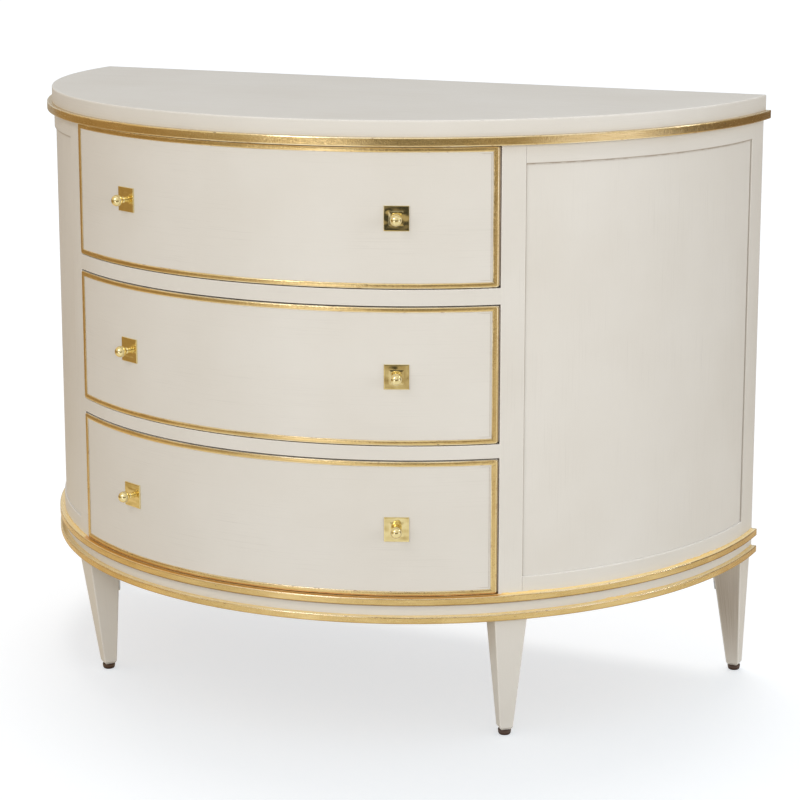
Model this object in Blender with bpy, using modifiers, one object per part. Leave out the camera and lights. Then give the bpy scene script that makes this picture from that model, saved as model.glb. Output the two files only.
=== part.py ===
# Demilune accent chest: a half-elliptical case with a flat back, three bow-front drawers on
# wooden runners, gilt mouldings above and below, and four tapered legs on nail-on glides.
# Lengths are metres. X runs along the flat back, the front faces -Y and Z is up.
# The origin is on the floor, under the middle of the chest's overall box.

import math

import bmesh
import bpy
from mathutils import Matrix, Vector

# Plan of the case: half an ellipse, measured to the faces of the stiles and drawers
body_half_width = 0.5660
body_depth = 0.5800
plan_segments = 48
bow_segments = 28
side_segments = 16
stile_segments = 3

# Gap kept between pieces that touch, and how far a cutter runs past what it cuts
seam = 0.0003
overrun = 0.0040

# Heights of the pieces, from the floor up
glide_height = 0.0080
leg_length = 0.1754
lower_moulding_height = 0.0100
frieze_height = 0.0157
upper_moulding_height = 0.0107
drawer_height = 0.1933
drawer_gap = 0.0016
lower_rail_height = 0.0202
upper_rail_height = 0.0231
top_moulding_height = 0.0125
slab_thickness = 0.0224

# How far the bands and the slab stand out past the case, and how deep the frame runs in
base_moulding_reach = 0.0080
slab_reach = 0.0028
top_moulding_ledge = 0.0078
frame_depth = 0.0340
slab_edge_round = 0.0020
moulding_edge_round = 0.0014

# Boards that close the case
board_thickness = 0.0180
partition_thickness = 0.0150
partition_front_gap = 0.0008
back_panel_thickness = 0.0060
back_panel_recess = 0.0030

# Curved sides: a C-shaped frame whose open end meets the front stile, with a panel set back in it
side_top_rail_height = 0.0262
side_bottom_rail_height = 0.0228
side_panel_thickness = 0.0120
side_panel_recess = 0.0025
front_stile_width_x = 0.0270
rear_stile_width_y = 0.0500

# Drawers
drawer_half_width = 0.3344
drawer_side_gap = 0.0018
front_thickness = 0.0200
corner_round = 0.0035
corner_segments = 4
drawer_side_thickness = 0.0120
drawer_side_drop = 0.0080
drawer_back_thickness = 0.0120
drawer_back_drop = 0.0120
drawer_back_inset = 0.0080
drawer_rear_clearance = 0.0010
drawer_panel_thickness = 0.0060
drawer_panel_height = 0.0100
groove_depth = 0.0050

# Gilt bead round each drawer face
bead_width = 0.0077
bead_rise = 0.0022

# Rails between the drawers and the strips that the drawers run on
rail_depth = 0.0450
runner_width = 0.0200

# Brass knobs on square plates
knob_x = 0.2120
plate_size = 0.0350
plate_thickness = 0.0016
plate_edge_round = 0.0004
boss_size = 0.0204
boss_top_size = 0.0168
boss_height = 0.0024
neck_radius = 0.0043
neck_height = 0.0034
collar_radius = 0.0062
collar_height = 0.0016
ball_radius = 0.0083
ball_seat_radius = 0.0050
ball_steps = 8
knob_turns = 16
stud_radius = 0.0020
stud_depth = 0.0140
stud_clearance = 0.0004

# Legs, square in section; each foot is set over from the middle of the leg's top
leg_top_size = 0.0476
leg_foot_size = 0.0198
leg_edge_round = 0.0012
foot_chamfer = 0.0028
foot_chamfer_height = 0.0042
front_foot_inward = 0.0112
front_leg_shift = 0.0016
front_foot_sideways = 0.0025
rear_foot_outward = 0.0113
rear_foot_forward = 0.0028
rear_leg_side_inset = 0.0021

# Steel bracket behind each leg
bracket_thickness = 0.0028
bracket_width = 0.0340
bracket_drop = 0.0560
bracket_arm = 0.0360

# Nail-on glides
glide_radius = 0.0096
glide_crown_radius = 0.0070
glide_edge_height = 0.0016
glide_nail_radius = 0.0014
glide_nail_length = 0.0150
nail_clearance = 0.0004
glide_turns = 16
hole_sides = 10

# Levels that follow from the heights
leg_bottom = glide_height + seam
leg_top = leg_bottom + leg_length
base_bottom = leg_top + seam
frieze_bottom = base_bottom + lower_moulding_height + seam
upper_moulding_bottom = frieze_bottom + frieze_height + seam
base_top = upper_moulding_bottom + upper_moulding_height
lower_drawer_level = base_top + drawer_gap
lower_rail_level = lower_drawer_level + drawer_height + drawer_gap
middle_drawer_level = lower_rail_level + lower_rail_height + drawer_gap
upper_rail_level = middle_drawer_level + drawer_height + drawer_gap
upper_drawer_level = upper_rail_level + upper_rail_height + drawer_gap
top_moulding_bottom = upper_drawer_level + drawer_height + drawer_gap
case_bottom = base_top + seam
case_top = top_moulding_bottom - seam
top_moulding_top = top_moulding_bottom + top_moulding_height
slab_bottom = top_moulding_top + seam
board_top = base_bottom + board_thickness
top_board_bottom = top_moulding_top - board_thickness

# Places in plan that follow from the sizes
top_moulding_reach = slab_reach + top_moulding_ledge
back_y = (body_depth + top_moulding_reach) / 2
stile_inner_x = drawer_half_width + drawer_side_gap
stile_outer_x = stile_inner_x + front_stile_width_x
partition_outer_x = stile_inner_x + partition_thickness
panel_front_y = back_y - back_panel_recess - back_panel_thickness
drawer_rear_y = panel_front_y - drawer_rear_clearance
side_inner_x = drawer_half_width - drawer_side_thickness
seam_angle = seam / min(body_half_width, body_depth)
half_turn = math.pi


def clear_scene():
    for old in list(bpy.data.objects):
        bpy.data.objects.remove(old)


def new_collection(name):
    collection = bpy.data.collections.new(name)
    bpy.context.scene.collection.children.link(collection)
    return collection


clear_scene()
chest = new_collection("accent_chest")
cutters = new_collection("cutters")


# Materials

def new_material(name, colour, roughness, metallic=0.0):
    material = bpy.data.materials.new(name)
    material.use_nodes = True
    shader = material.node_tree.nodes["Principled BSDF"]
    shader.inputs["Base Color"].default_value = (*colour, 1.0)
    shader.inputs["Roughness"].default_value = roughness
    shader.inputs["Metallic"].default_value = metallic
    material.diffuse_color = (*colour, 1.0)
    return material


cream = new_material("cream_lacquer", (0.72, 0.67, 0.59), 0.45)
gilt = new_material("gold_leaf", (0.62, 0.43, 0.16), 0.35, 1.0)
brass = new_material("polished_brass", (0.83, 0.62, 0.25), 0.12, 1.0)
bare_wood = new_material("bare_hardwood", (0.60, 0.42, 0.25), 0.60)
plywood = new_material("plywood", (0.66, 0.52, 0.34), 0.65)
steel = new_material("zinc_plated_steel", (0.45, 0.45, 0.46), 0.40, 1.0)
glide_plastic = new_material("dark_brown_plastic", (0.06, 0.03, 0.02), 0.45)


# Points and directions on the plan

def plan_point(angle, reach):
    """A point of the plan, at an angle from the right-hand end and a reach outside the case."""
    x = (body_half_width + reach) * math.cos(angle)
    y = back_y - (body_depth + reach) * math.sin(angle)
    return (x, y)


def angle_at_x(x, reach):
    return math.acos(x / (body_half_width + reach))


def angle_at_back(distance, reach):
    return math.asin(distance / (body_depth + reach))


def heading_at(angle):
    """How far the face's outward direction is turned from the front, towards the right."""
    across = math.cos(angle) / body_half_width
    forward = math.sin(angle) / body_depth
    return math.atan2(across, forward)


def arc(start, end, reach, segments):
    step = (end - start) / segments
    return [plan_point(start + step * i, reach) for i in range(segments + 1)]


def curved_outline(outer_reach, inner_reach, outer_span, inner_span, segments):
    """A curved strip: out along one arc of the plan and back along another."""
    outer = arc(*outer_span, outer_reach, segments)
    inner = arc(*inner_span, inner_reach, segments)
    return outer + inner[::-1]


def mirrored(outline):
    return [(-x, y) for x, y in outline]


# Making and placing objects

def link(obj, collection, parent=None):
    collection.objects.link(obj)
    obj.parent = parent
    return obj


def level(bottom, height):
    """Places an outline's middle plane between two heights."""
    return Matrix.Translation((0, 0, bottom + height / 2))


def board(name, outline, thickness, place, material=None, parent=None):
    """A flat outline given a thickness, as a mesh with its caps welded to its walls."""
    curve = bpy.data.curves.new(name + "_outline", "CURVE")
    curve.dimensions = "2D"
    curve.fill_mode = "BOTH"
    curve.extrude = thickness / 2
    spline = curve.splines.new("POLY")
    spline.points.add(len(outline) - 1)
    for point, (x, y) in zip(spline.points, outline):
        point.co = (x, y, 0, 1)
    spline.use_cyclic_u = True
    drawn = link(bpy.data.objects.new(name + "_outline", curve), cutters)
    graph = bpy.context.evaluated_depsgraph_get()
    mesh = bpy.data.meshes.new_from_object(drawn.evaluated_get(graph))
    bpy.data.objects.remove(drawn)
    shape = bmesh.new()
    shape.from_mesh(mesh)
    bmesh.ops.remove_doubles(shape, verts=shape.verts, dist=seam / 10)
    bmesh.ops.recalc_face_normals(shape, faces=shape.faces)
    shape.to_mesh(mesh)
    shape.free()
    return finished(name, mesh, place, material, parent)


def finished(name, mesh, place, material, parent):
    """Wraps a mesh as a piece of the chest, or as a cutter where it has no material."""
    mesh.name = name
    obj = bpy.data.objects.new(name, mesh)
    if material is None:
        link(obj, cutters, parent)
        obj.hide_render = True
        obj.display_type = "WIRE"
    else:
        link(obj, chest, parent)
        mesh.materials.clear()
        mesh.materials.append(material)
    obj.matrix_local = place
    bpy.context.view_layer.update()
    return obj


def box(name, low, high, material=None, parent=None):
    shape = bmesh.new()
    size = Vector(high) - Vector(low)
    bmesh.ops.create_cube(shape, size=1, matrix=Matrix.Diagonal((*size, 1)))
    mesh = bpy.data.meshes.new(name)
    shape.to_mesh(mesh)
    shape.free()
    centre = (Vector(high) + Vector(low)) / 2
    return finished(name, mesh, Matrix.Translation(centre), material, parent)


def turned_mesh(name, profile, turns):
    """A profile in X and Z, from top to bottom down its outer side, turned about Z."""
    mesh = bpy.data.meshes.new(name)
    edges = [(i, i + 1) for i in range(len(profile) - 1)]
    mesh.from_pydata([(x, 0, z) for x, z in profile], edges, [])
    obj = link(bpy.data.objects.new(name, mesh), cutters)
    screw = obj.modifiers.new("turn", "SCREW")
    screw.steps = turns
    screw.render_steps = turns
    screw.use_merge_vertices = True
    screw.merge_threshold = seam / 30
    graph = bpy.context.evaluated_depsgraph_get()
    solid = bpy.data.meshes.new_from_object(obj.evaluated_get(graph))
    bpy.data.objects.remove(obj)
    solid.shade_smooth()
    solid.set_sharp_from_angle(angle=math.radians(35))
    return solid


def drill(name, radius, low, high, place, parent=None):
    """A plain round cutter about its own Z, between two heights."""
    shape = bmesh.new()
    middle = Matrix.Translation((0, 0, (low + high) / 2))
    bmesh.ops.create_cone(shape, cap_ends=True, segments=hole_sides, radius1=radius,
                          radius2=radius, depth=high - low, matrix=middle)
    mesh = bpy.data.meshes.new(name)
    shape.to_mesh(mesh)
    shape.free()
    return finished(name, mesh, place, None, parent)


def combine(obj, other, operation="DIFFERENCE"):
    cut = obj.modifiers.new(operation.lower(), "BOOLEAN")
    cut.object = other
    cut.operation = operation
    cut.solver = "EXACT"


def ease_edges(obj, width, segments=1):
    bevel = obj.modifiers.new("eased_edges", "BEVEL")
    bevel.width = width
    bevel.segments = segments
    bevel.limit_method = "ANGLE"
    bevel.angle_limit = math.radians(40)


# Top and base

def make_top():
    whole = (0, half_turn)
    slab = board("top_slab", arc(*whole, slab_reach, plan_segments), slab_thickness,
                 level(slab_bottom, slab_thickness), cream)
    ease_edges(slab, slab_edge_round, 2)
    band = curved_outline(top_moulding_reach, -frame_depth, whole, whole, plan_segments)
    moulding = board("top_moulding", band, top_moulding_height,
                     level(top_moulding_bottom, top_moulding_height), gilt)
    ease_edges(moulding, moulding_edge_round)
    inside = arc(*whole, -frame_depth - seam, plan_segments)
    board("top_board", inside, board_thickness, level(top_board_bottom, board_thickness),
          plywood)


def make_base():
    whole = (0, half_turn)
    layers = (
        ("base_moulding_lower", base_bottom, lower_moulding_height, base_moulding_reach, gilt),
        ("base_frieze", frieze_bottom, frieze_height, 0, cream),
        ("base_moulding_upper", upper_moulding_bottom, upper_moulding_height,
         base_moulding_reach, gilt),
    )
    for name, bottom, height, reach, material in layers:
        band = curved_outline(reach, -frame_depth, whole, whole, plan_segments)
        layer = board(name, band, height, level(bottom, height), material)
        if reach > 0:
            ease_edges(layer, moulding_edge_round)
    inside = arc(*whole, -frame_depth - seam, plan_segments)
    board("bottom_board", inside, board_thickness, level(base_bottom, board_thickness), plywood)


# Case

def make_front_stile(side, flip):
    inner = stile_inner_x
    joint = angle_at_x(stile_outer_x, 0)
    outline = curved_outline(0, -frame_depth, (joint, angle_at_x(inner, 0)),
                             (joint, angle_at_x(inner, -frame_depth)), stile_segments)
    board("front_stile_" + side, flip(outline), case_top - case_bottom,
          level(case_bottom, case_top - case_bottom), cream)


def make_side(side, flip):
    """The rear stile and both side rails in one frame, and the panel in its opening."""
    rear_joint = angle_at_back(rear_stile_width_y, 0)
    front_joint = angle_at_x(stile_outer_x, 0) - seam_angle
    outline = curved_outline(0, -frame_depth, (0, front_joint), (0, front_joint), side_segments)
    frame = board("side_frame_" + side, flip(outline), case_top - case_bottom,
                  level(case_bottom, case_top - case_bottom), cream)
    open_end = (rear_joint, front_joint + seam_angle)
    window = curved_outline(overrun, -frame_depth - overrun, open_end, open_end, side_segments)
    window_bottom = case_bottom + side_bottom_rail_height
    window_height = case_top - side_top_rail_height - window_bottom
    cutter = board("side_window_" + side, flip(window), window_height,
                   level(window_bottom, window_height))
    combine(frame, cutter)
    face = -side_panel_recess
    span = (rear_joint + seam_angle, front_joint)
    sheet = curved_outline(face, face - side_panel_thickness, span, span, side_segments)
    height = window_height - 2 * seam
    board("side_panel_" + side, flip(sheet), height, level(window_bottom + seam, height), cream)


def make_rail(name, bottom, height):
    end_x = stile_inner_x - seam
    outer_angle = angle_at_x(end_x, 0)
    inner_angle = angle_at_x(end_x, -rail_depth)
    outline = curved_outline(0, -rail_depth, (outer_angle, half_turn - outer_angle),
                             (inner_angle, half_turn - inner_angle), bow_segments)
    board(name, outline, height, level(bottom, height), cream)


def strip_outline(inner_x, outer_x, reach, rear_y):
    """A strip that runs back from an arc of the plan to a straight rear end."""
    front = arc(angle_at_x(outer_x, reach), angle_at_x(inner_x, reach), reach, stile_segments)
    return front + [(inner_x, rear_y), (outer_x, rear_y)]


def make_partition(side, flip):
    """An upright board with a strip glued along it under each drawer's side."""
    outline = strip_outline(stile_inner_x, partition_outer_x,
                            -frame_depth - partition_front_gap, panel_front_y - seam)
    bottom = board_top + seam
    height = top_board_bottom - seam - bottom
    partition = board("partition_" + side, flip(outline), height, level(bottom, height),
                      plywood)
    strip = strip_outline(stile_inner_x - seam - runner_width,
                          stile_inner_x + partition_thickness / 2,
                          -rail_depth - seam, panel_front_y - seam)
    levels = (
        (bottom, lower_drawer_level),
        (lower_rail_level, middle_drawer_level),
        (upper_rail_level, upper_drawer_level),
    )
    for low, high in levels:
        height = high - seam - low
        runner = board("runner_" + side, flip(strip), height, level(low, height))
        combine(partition, runner, "UNION")


def make_back_panel():
    half_width = body_half_width - frame_depth - 2 * seam
    box("back_panel", (-half_width, panel_front_y, board_top + seam),
        (half_width, panel_front_y + back_panel_thickness, top_board_bottom - seam), plywood)


# Legs, brackets and glides. Each leg has its own upright axes: -Y is outward, Z is up,
# and the origin is in the middle of its top.

def leg_places():
    """For each leg: its name, its place, and where its foot is set over from its top."""
    stile_middle = angle_at_x((stile_inner_x + stile_outer_x) / 2, 0)
    heading = heading_at(stile_middle)
    outward = Vector((math.sin(heading), -math.cos(heading), 0))
    along = Vector((math.cos(heading), math.sin(heading), 0))
    front = Vector((*plan_point(stile_middle, 0), leg_top))
    front += along * front_leg_shift - outward * leg_top_size / 2
    rear_x = body_half_width - rear_leg_side_inset - leg_top_size / 2
    rear = Vector((rear_x, back_y - leg_top_size / 2, leg_top))
    sideways = half_turn / 2
    for side, sign in (("right", 1), ("left", -1)):
        flip = Vector((sign, 1, 1))
        turn = Matrix.Rotation(sign * heading, 4, "Z")
        foot = (sign * front_foot_sideways, front_foot_inward)
        yield "front_" + side, Matrix.Translation(front * flip) @ turn, foot
        turn = Matrix.Rotation(sign * sideways, 4, "Z")
        foot = (-sign * rear_foot_forward, -rear_foot_outward)
        yield "rear_" + side, Matrix.Translation(rear * flip) @ turn, foot


def make_leg(name, place, foot):
    """A square taper whose foot is moved sideways, with a chamfer round the foot."""
    to_corner = math.sqrt(2) / 2
    taper_length = leg_length - foot_chamfer_height
    shape = bmesh.new()
    square = Matrix.Rotation(half_turn / 4, 4, "Z")
    upright = Matrix.Translation((0, 0, -taper_length / 2)) @ square
    bmesh.ops.create_cone(shape, cap_ends=True, segments=4, radius1=leg_foot_size * to_corner,
                          radius2=leg_top_size * to_corner, depth=taper_length, matrix=upright)
    for vert in shape.verts:
        if vert.co.z < -taper_length / 2:
            vert.co += Vector((*foot, 0))
    sole = min(shape.faces, key=lambda face: face.calc_center_median().z)
    bmesh.ops.inset_region(shape, faces=[sole], thickness=foot_chamfer,
                           depth=foot_chamfer_height)
    mesh = bpy.data.meshes.new("leg_" + name)
    shape.to_mesh(mesh)
    shape.free()
    leg = finished("leg_" + name, mesh, place, cream, None)
    ease_edges(leg, leg_edge_round)
    return leg


def inner_face(foot, depth):
    """How far the leg's inner face lies from the leg's axis, at a depth below its top."""
    at_foot = foot[1] + leg_foot_size / 2
    taper_length = leg_length - foot_chamfer_height
    return leg_top_size / 2 + (at_foot - leg_top_size / 2) * depth / taper_length


def make_bracket(name, place, foot):
    """An angle bracket: a flange down the leg's inner face and an arm under the case."""
    at_top = inner_face(foot, 0) + seam
    at_bend = inner_face(foot, bracket_thickness) + seam
    at_end = inner_face(foot, bracket_drop) + seam
    outline = [
        (at_top, 0),
        (at_end, -bracket_drop),
        (at_end + bracket_thickness, -bracket_drop),
        (at_bend + bracket_thickness, -bracket_thickness),
        (at_top + bracket_arm, -bracket_thickness),
        (at_top + bracket_arm, 0),
    ]
    outline_to_leg = Matrix(((0, 0, 1, 0), (1, 0, 0, 0), (0, 1, 0, 0), (0, 0, 0, 1)))
    board("leg_bracket_" + name, outline, bracket_width, place @ outline_to_leg, steel)


def glide_profile():
    """From the nail's end down to the floor; the origin is in the middle of the glide's top."""
    return [
        (0, glide_nail_length),
        (glide_nail_radius, glide_nail_length),
        (glide_nail_radius, 0),
        (glide_radius, 0),
        (glide_radius, glide_edge_height - glide_height),
        (glide_crown_radius, -glide_height),
        (0, -glide_height),
    ]


def make_legs():
    glide = turned_mesh("foot_glide", glide_profile(), glide_turns)
    for name, place, foot in leg_places():
        leg = make_leg(name, place, foot)
        make_bracket(name, place, foot)
        sole = place @ Vector((*foot, 0))
        under = Matrix.Translation((sole.x, sole.y, glide_height))
        finished("foot_glide_" + name, glide.copy(), under, glide_plastic, None)
        hole = drill("nail_hole_" + name, glide_nail_radius + nail_clearance, 0,
                     glide_nail_length + nail_clearance, under)
        combine(leg, hole)


def make_case():
    make_base()
    for side, flip in (("right", list), ("left", mirrored)):
        make_front_stile(side, flip)
        make_side(side, flip)
        make_partition(side, flip)
    make_rail("drawer_rail_lower", lower_rail_level, lower_rail_height)
    make_rail("drawer_rail_upper", upper_rail_level, upper_rail_height)
    make_back_panel()
    make_top()
    make_legs()


# Drawers. Each is built about an empty at the level of its lower edge, on the line that
# it slides along.

def rounded_rectangle(half_width, bottom, top, radius):
    corners = (
        (half_width - radius, bottom + radius, -half_turn / 2),
        (half_width - radius, top - radius, 0),
        (radius - half_width, top - radius, half_turn / 2),
        (radius - half_width, bottom + radius, half_turn),
    )
    points = []
    for x, z, start in corners:
        for i in range(corner_segments + 1):
            turn = start + half_turn / 2 * i / corner_segments
            points.append((x + radius * math.cos(turn), z + radius * math.sin(turn)))
    return points


def face_cutter(name, outline, parent):
    """A prism that runs from front to back through the drawer's face."""
    middle_y = back_y - body_depth + overrun
    upright = Matrix.Translation((0, middle_y, 0)) @ Matrix.Rotation(half_turn / 2, 4, "X")
    return board(name, outline, body_depth, upright, None, parent)


def bow_board(name, outer_reach, inner_reach, material, parent):
    """A bowed sheet as wide and high as the drawer and a little over, before it is cut."""
    edge = drawer_half_width + overrun
    outer_angle = angle_at_x(edge, outer_reach)
    inner_angle = angle_at_x(edge, inner_reach)
    outline = curved_outline(outer_reach, inner_reach, (outer_angle, half_turn - outer_angle),
                             (inner_angle, half_turn - inner_angle), bow_segments)
    height = drawer_height + 2 * overrun
    return board(name, outline, height, level(-overrun, height), material, parent)


def drawer_floor_outline(clearance):
    """The bottom panel: bowed in front, let into the sides and the front."""
    half_width = side_inner_x + groove_depth - 2 * seam + clearance
    reach = groove_depth - front_thickness - 2 * seam + clearance
    start = angle_at_x(half_width, reach)
    front = arc(start, half_turn - start, reach, bow_segments)
    rear_y = drawer_rear_y - drawer_back_inset + clearance
    return front + [(-half_width, rear_y), (half_width, rear_y)]


def knob_profile():
    """From the tip of the ball down to the plate, then down the stud; Z is out of the face."""
    base = seam + plate_thickness + seam
    neck_start = base + boss_height
    collar_start = neck_start + neck_height
    ball_start = collar_start + collar_height
    seat_angle = math.asin(ball_seat_radius / ball_radius)
    ball_centre = ball_start + ball_radius * math.cos(seat_angle)
    points = []
    for i in range(ball_steps + 1):
        turn = (half_turn - seat_angle) * i / ball_steps
        points.append((ball_radius * math.sin(turn), ball_centre + ball_radius * math.cos(turn)))
    return points + [
        (collar_radius, ball_start),
        (collar_radius, collar_start),
        (neck_radius, collar_start),
        (neck_radius, base + boss_height / 2),
        (stud_radius, base + boss_height / 2),
        (stud_radius, -stud_depth),
        (0, -stud_depth),
    ]


def make_boss(name, place, parent):
    """The small square step at a knob's foot, which narrows towards the neck."""
    base = seam + plate_thickness + seam
    to_corner = math.sqrt(2) / 2
    shape = bmesh.new()
    square = Matrix.Rotation(half_turn / 4, 4, "Z")
    upright = Matrix.Translation((0, 0, base + boss_height / 2)) @ square
    bmesh.ops.create_cone(shape, cap_ends=True, segments=4, radius1=boss_size * to_corner,
                          radius2=boss_top_size * to_corner, depth=boss_height, matrix=upright)
    mesh = bpy.data.meshes.new(name)
    shape.to_mesh(mesh)
    shape.free()
    return finished(name, mesh, place, None, parent)


def make_knobs(name, front, parent):
    """Two knobs, each on a square boss, with a stud through its plate into the front."""
    solid = turned_mesh("knob", knob_profile(), knob_turns)
    angle = angle_at_x(knob_x, 0)
    seat_x, seat_y = plan_point(angle, 0)
    for side, sign in (("left", -1), ("right", 1)):
        seat = Matrix.Translation((sign * seat_x, seat_y, drawer_height / 2))
        turn = Matrix.Rotation(sign * heading_at(angle), 4, "Z")
        place = seat @ turn @ Matrix.Rotation(half_turn / 2, 4, "X")
        knob = finished(name + "_knob_" + side, solid.copy(), place, brass, parent)
        combine(knob, make_boss(name + "_boss_" + side, place, parent), "UNION")
        half = plate_size / 2
        plate = box(name + "_knob_plate_" + side, (-half, -half, seam),
                    (half, half, seam + plate_thickness), brass, parent)
        plate.data.transform(plate.matrix_local)
        plate.matrix_local = place
        ease_edges(plate, plate_edge_round)
        hole = drill(name + "_knob_hole_" + side, stud_radius + stud_clearance,
                     -stud_depth - stud_clearance, plate_thickness + overrun, place, parent)
        combine(plate, hole)
        combine(front, hole)


def make_drawer(name, drawer_level):
    slide = link(bpy.data.objects.new(name + "_slide", None), chest)
    slide.location = (0, 0, drawer_level)
    bpy.context.view_layer.update()

    face = rounded_rectangle(drawer_half_width, 0, drawer_height, corner_round)
    face_prism = face_cutter(name + "_face", face, slide)
    window = [
        (sign_x * (drawer_half_width - bead_width), z)
        for sign_x, z in ((1, bead_width), (1, drawer_height - bead_width),
                          (-1, drawer_height - bead_width), (-1, bead_width))
    ]
    window_prism = face_cutter(name + "_window", window, slide)
    front = bow_board(name + "_front", 0, -front_thickness, cream, slide)
    combine(front, face_prism, "INTERSECT")
    bead = bow_board(name + "_bead", bead_rise, seam, gilt, slide)
    combine(bead, face_prism, "INTERSECT")
    combine(bead, window_prism)

    floor = drawer_floor_outline(0)
    board(name + "_bottom", floor, drawer_panel_thickness,
          level(drawer_panel_height, drawer_panel_thickness), plywood, slide)
    groove_outline = drawer_floor_outline(seam)
    groove_low = drawer_panel_height - seam
    groove_height = drawer_panel_thickness + 2 * seam
    groove = board(name + "_groove", groove_outline, groove_height,
                   level(groove_low, groove_height), None, slide)
    combine(front, groove)

    side_height = drawer_height - drawer_side_drop
    side_outline = strip_outline(side_inner_x, drawer_half_width, -front_thickness - seam,
                                 drawer_rear_y)
    for side, flip in (("left", mirrored), ("right", list)):
        wall = board(name + "_side_" + side, flip(side_outline), side_height,
                     level(0, side_height), bare_wood, slide)
        combine(wall, groove)

    back_half_width = side_inner_x - seam
    back_bottom = drawer_panel_height + drawer_panel_thickness + seam
    back_top = side_height - drawer_back_drop
    rear_y = drawer_rear_y - drawer_back_inset
    box(name + "_back", (-back_half_width, rear_y - drawer_back_thickness, back_bottom),
        (back_half_width, rear_y, back_top), bare_wood, slide)
    make_knobs(name, front, slide)


make_case()
make_drawer("lower_drawer", lower_drawer_level)
make_drawer("middle_drawer", middle_drawer_level)
make_drawer("upper_drawer", upper_drawer_level)
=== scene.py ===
# Demilune accent chest: fine visible surfaces and finishes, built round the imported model.
# Lengths are metres, Z is up, the flat back faces +Y and the drawers open towards -Y.

import math

import bmesh
import bpy
import numpy as np
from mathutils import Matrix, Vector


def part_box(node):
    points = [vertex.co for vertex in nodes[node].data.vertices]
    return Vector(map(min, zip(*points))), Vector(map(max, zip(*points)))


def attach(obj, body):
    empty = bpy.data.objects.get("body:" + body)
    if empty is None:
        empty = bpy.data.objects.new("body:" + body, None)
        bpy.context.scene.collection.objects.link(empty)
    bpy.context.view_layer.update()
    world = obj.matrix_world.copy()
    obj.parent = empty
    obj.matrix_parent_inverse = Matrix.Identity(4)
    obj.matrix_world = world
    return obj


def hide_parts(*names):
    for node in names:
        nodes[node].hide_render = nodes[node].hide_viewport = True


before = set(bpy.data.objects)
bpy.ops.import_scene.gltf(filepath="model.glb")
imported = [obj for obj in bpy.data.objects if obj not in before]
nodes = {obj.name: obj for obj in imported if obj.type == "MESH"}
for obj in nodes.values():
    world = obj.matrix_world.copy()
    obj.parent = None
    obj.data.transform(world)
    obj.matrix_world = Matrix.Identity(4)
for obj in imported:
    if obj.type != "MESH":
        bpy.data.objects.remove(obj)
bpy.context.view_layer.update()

# The curve that the whole case follows, half an ellipse whose straight side is the back
plan = {
    "halfWidth": 0.5660,
    "depth": 0.5800,
    "backY": 0.2953,
    "frameDepth": 0.0340,   # how far the bands and frames run in from the curve
    "step": 0.0075,         # length of one straight piece of a curve
}
halfTurn = math.pi
quarterTurn = math.pi / 2


def planPoint(angle, reach):
    # x = (halfWidth + reach) cos a, y = backY - (depth + reach) sin a
    return np.stack([(plan["halfWidth"] + reach) * np.cos(angle),
                     plan["backY"] - (plan["depth"] + reach) * np.sin(angle)], -1)


def faceY(x, reach):
    share = x / (plan["halfWidth"] + reach)
    return plan["backY"] - (plan["depth"] + reach) * np.sqrt(1 - share ** 2)


def angleAtX(x):
    return math.acos(x / plan["halfWidth"])


def headingAt(angle):
    # how far the outward direction is turned from the front, towards the right
    return math.atan2(math.cos(angle) / plan["halfWidth"], math.sin(angle) / plan["depth"])


def speedAt(angle):
    # metres of curve for each radian of the plan's angle
    return math.hypot(plan["halfWidth"] * math.sin(angle), plan["depth"] * math.cos(angle))


def arcAngles(start, end):
    length = abs(end - start) * plan["halfWidth"]
    return np.linspace(start, end, max(3, int(length / plan["step"])) + 1)


def runningLength(points):
    steps = np.linalg.norm(np.diff(points, axis=0), axis=1)
    return np.concatenate([[0.0], np.cumsum(steps)])


def roundLength(loop):
    return runningLength(np.vstack([loop, loop[:1]]))


def easing(size, count=5):
    # a quarter of a circle, as how far it runs in and how far it falls short
    turn = np.linspace(0, quarterTurn, count)
    return size * (1 - np.cos(turn)), size * (1 - np.sin(turn))


def levels(name):
    low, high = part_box(name)
    return low.z, high.z


# Outlines and grids. Every part is a dictionary of whole arrays: points (rows, columns, 3),
# uv in metres (u along the brush marks) and a mark at each point for wear and painted shade,
# which is 1 on a rubbed arris (on cream also a painted highlight), 0 on a plain face, -1 where
# the surface is darkened (glaze in the panel recesses, painted shade in the gaps, under the
# mouldings and on the rear legs), 2 on a matt lap of leaf and 3 on amber leaf, a painted
# reflection.

def easedLoop(corners, rounds, guard=0.0012, steps=4):
    # a closed outline whose corners are arcs, with guard points where the flats begin
    corners = np.array(corners, float)
    points, wear = [], []
    for i, (here, radius) in enumerate(zip(corners, rounds)):
        before = corners[i - 1] - here
        after = corners[(i + 1) % len(corners)] - here
        before = before / np.linalg.norm(before)
        after = after / np.linalg.norm(after)
        if radius == 0:
            points.append(here[None])
            wear.append([0.0])
            continue
        half = math.acos(np.clip(before @ after, -1, 1)) / 2
        tangent = radius / math.tan(half)
        middle = before + after
        centre = here + middle / np.linalg.norm(middle) * radius / math.sin(half)
        start = here + before * tangent - centre
        end = here + after * tangent - centre
        sweep = math.acos(np.clip(start @ end / radius ** 2, -1, 1))
        share = np.linspace(0, 1, steps + 1)[:, None]
        arc = np.sin((1 - share) * sweep) * start + np.sin(share * sweep) * end
        points.append(np.vstack([here + before * (tangent + guard),
                                 centre + arc / math.sin(sweep),
                                 here + after * (tangent + guard)]))
        wear.append([0.0] + [1.0] * (steps + 1) + [0.0])
    return np.vstack(points), np.concatenate(wear)


def easedSquare(half, radius, guard):
    return easedLoop([(-half, -half), (half, -half), (half, half), (-half, half)],
                     [radius] * 4, guard)


def part(points, uv, wear, cap=False):
    return {"points": np.asarray(points, float), "uv": np.asarray(uv, float),
            "wear": np.asarray(wear, float), "cap": cap}


def uvGrid(down, across):
    return np.stack(np.broadcast_arrays(down[:, None], across[None, :]), -1)


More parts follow.
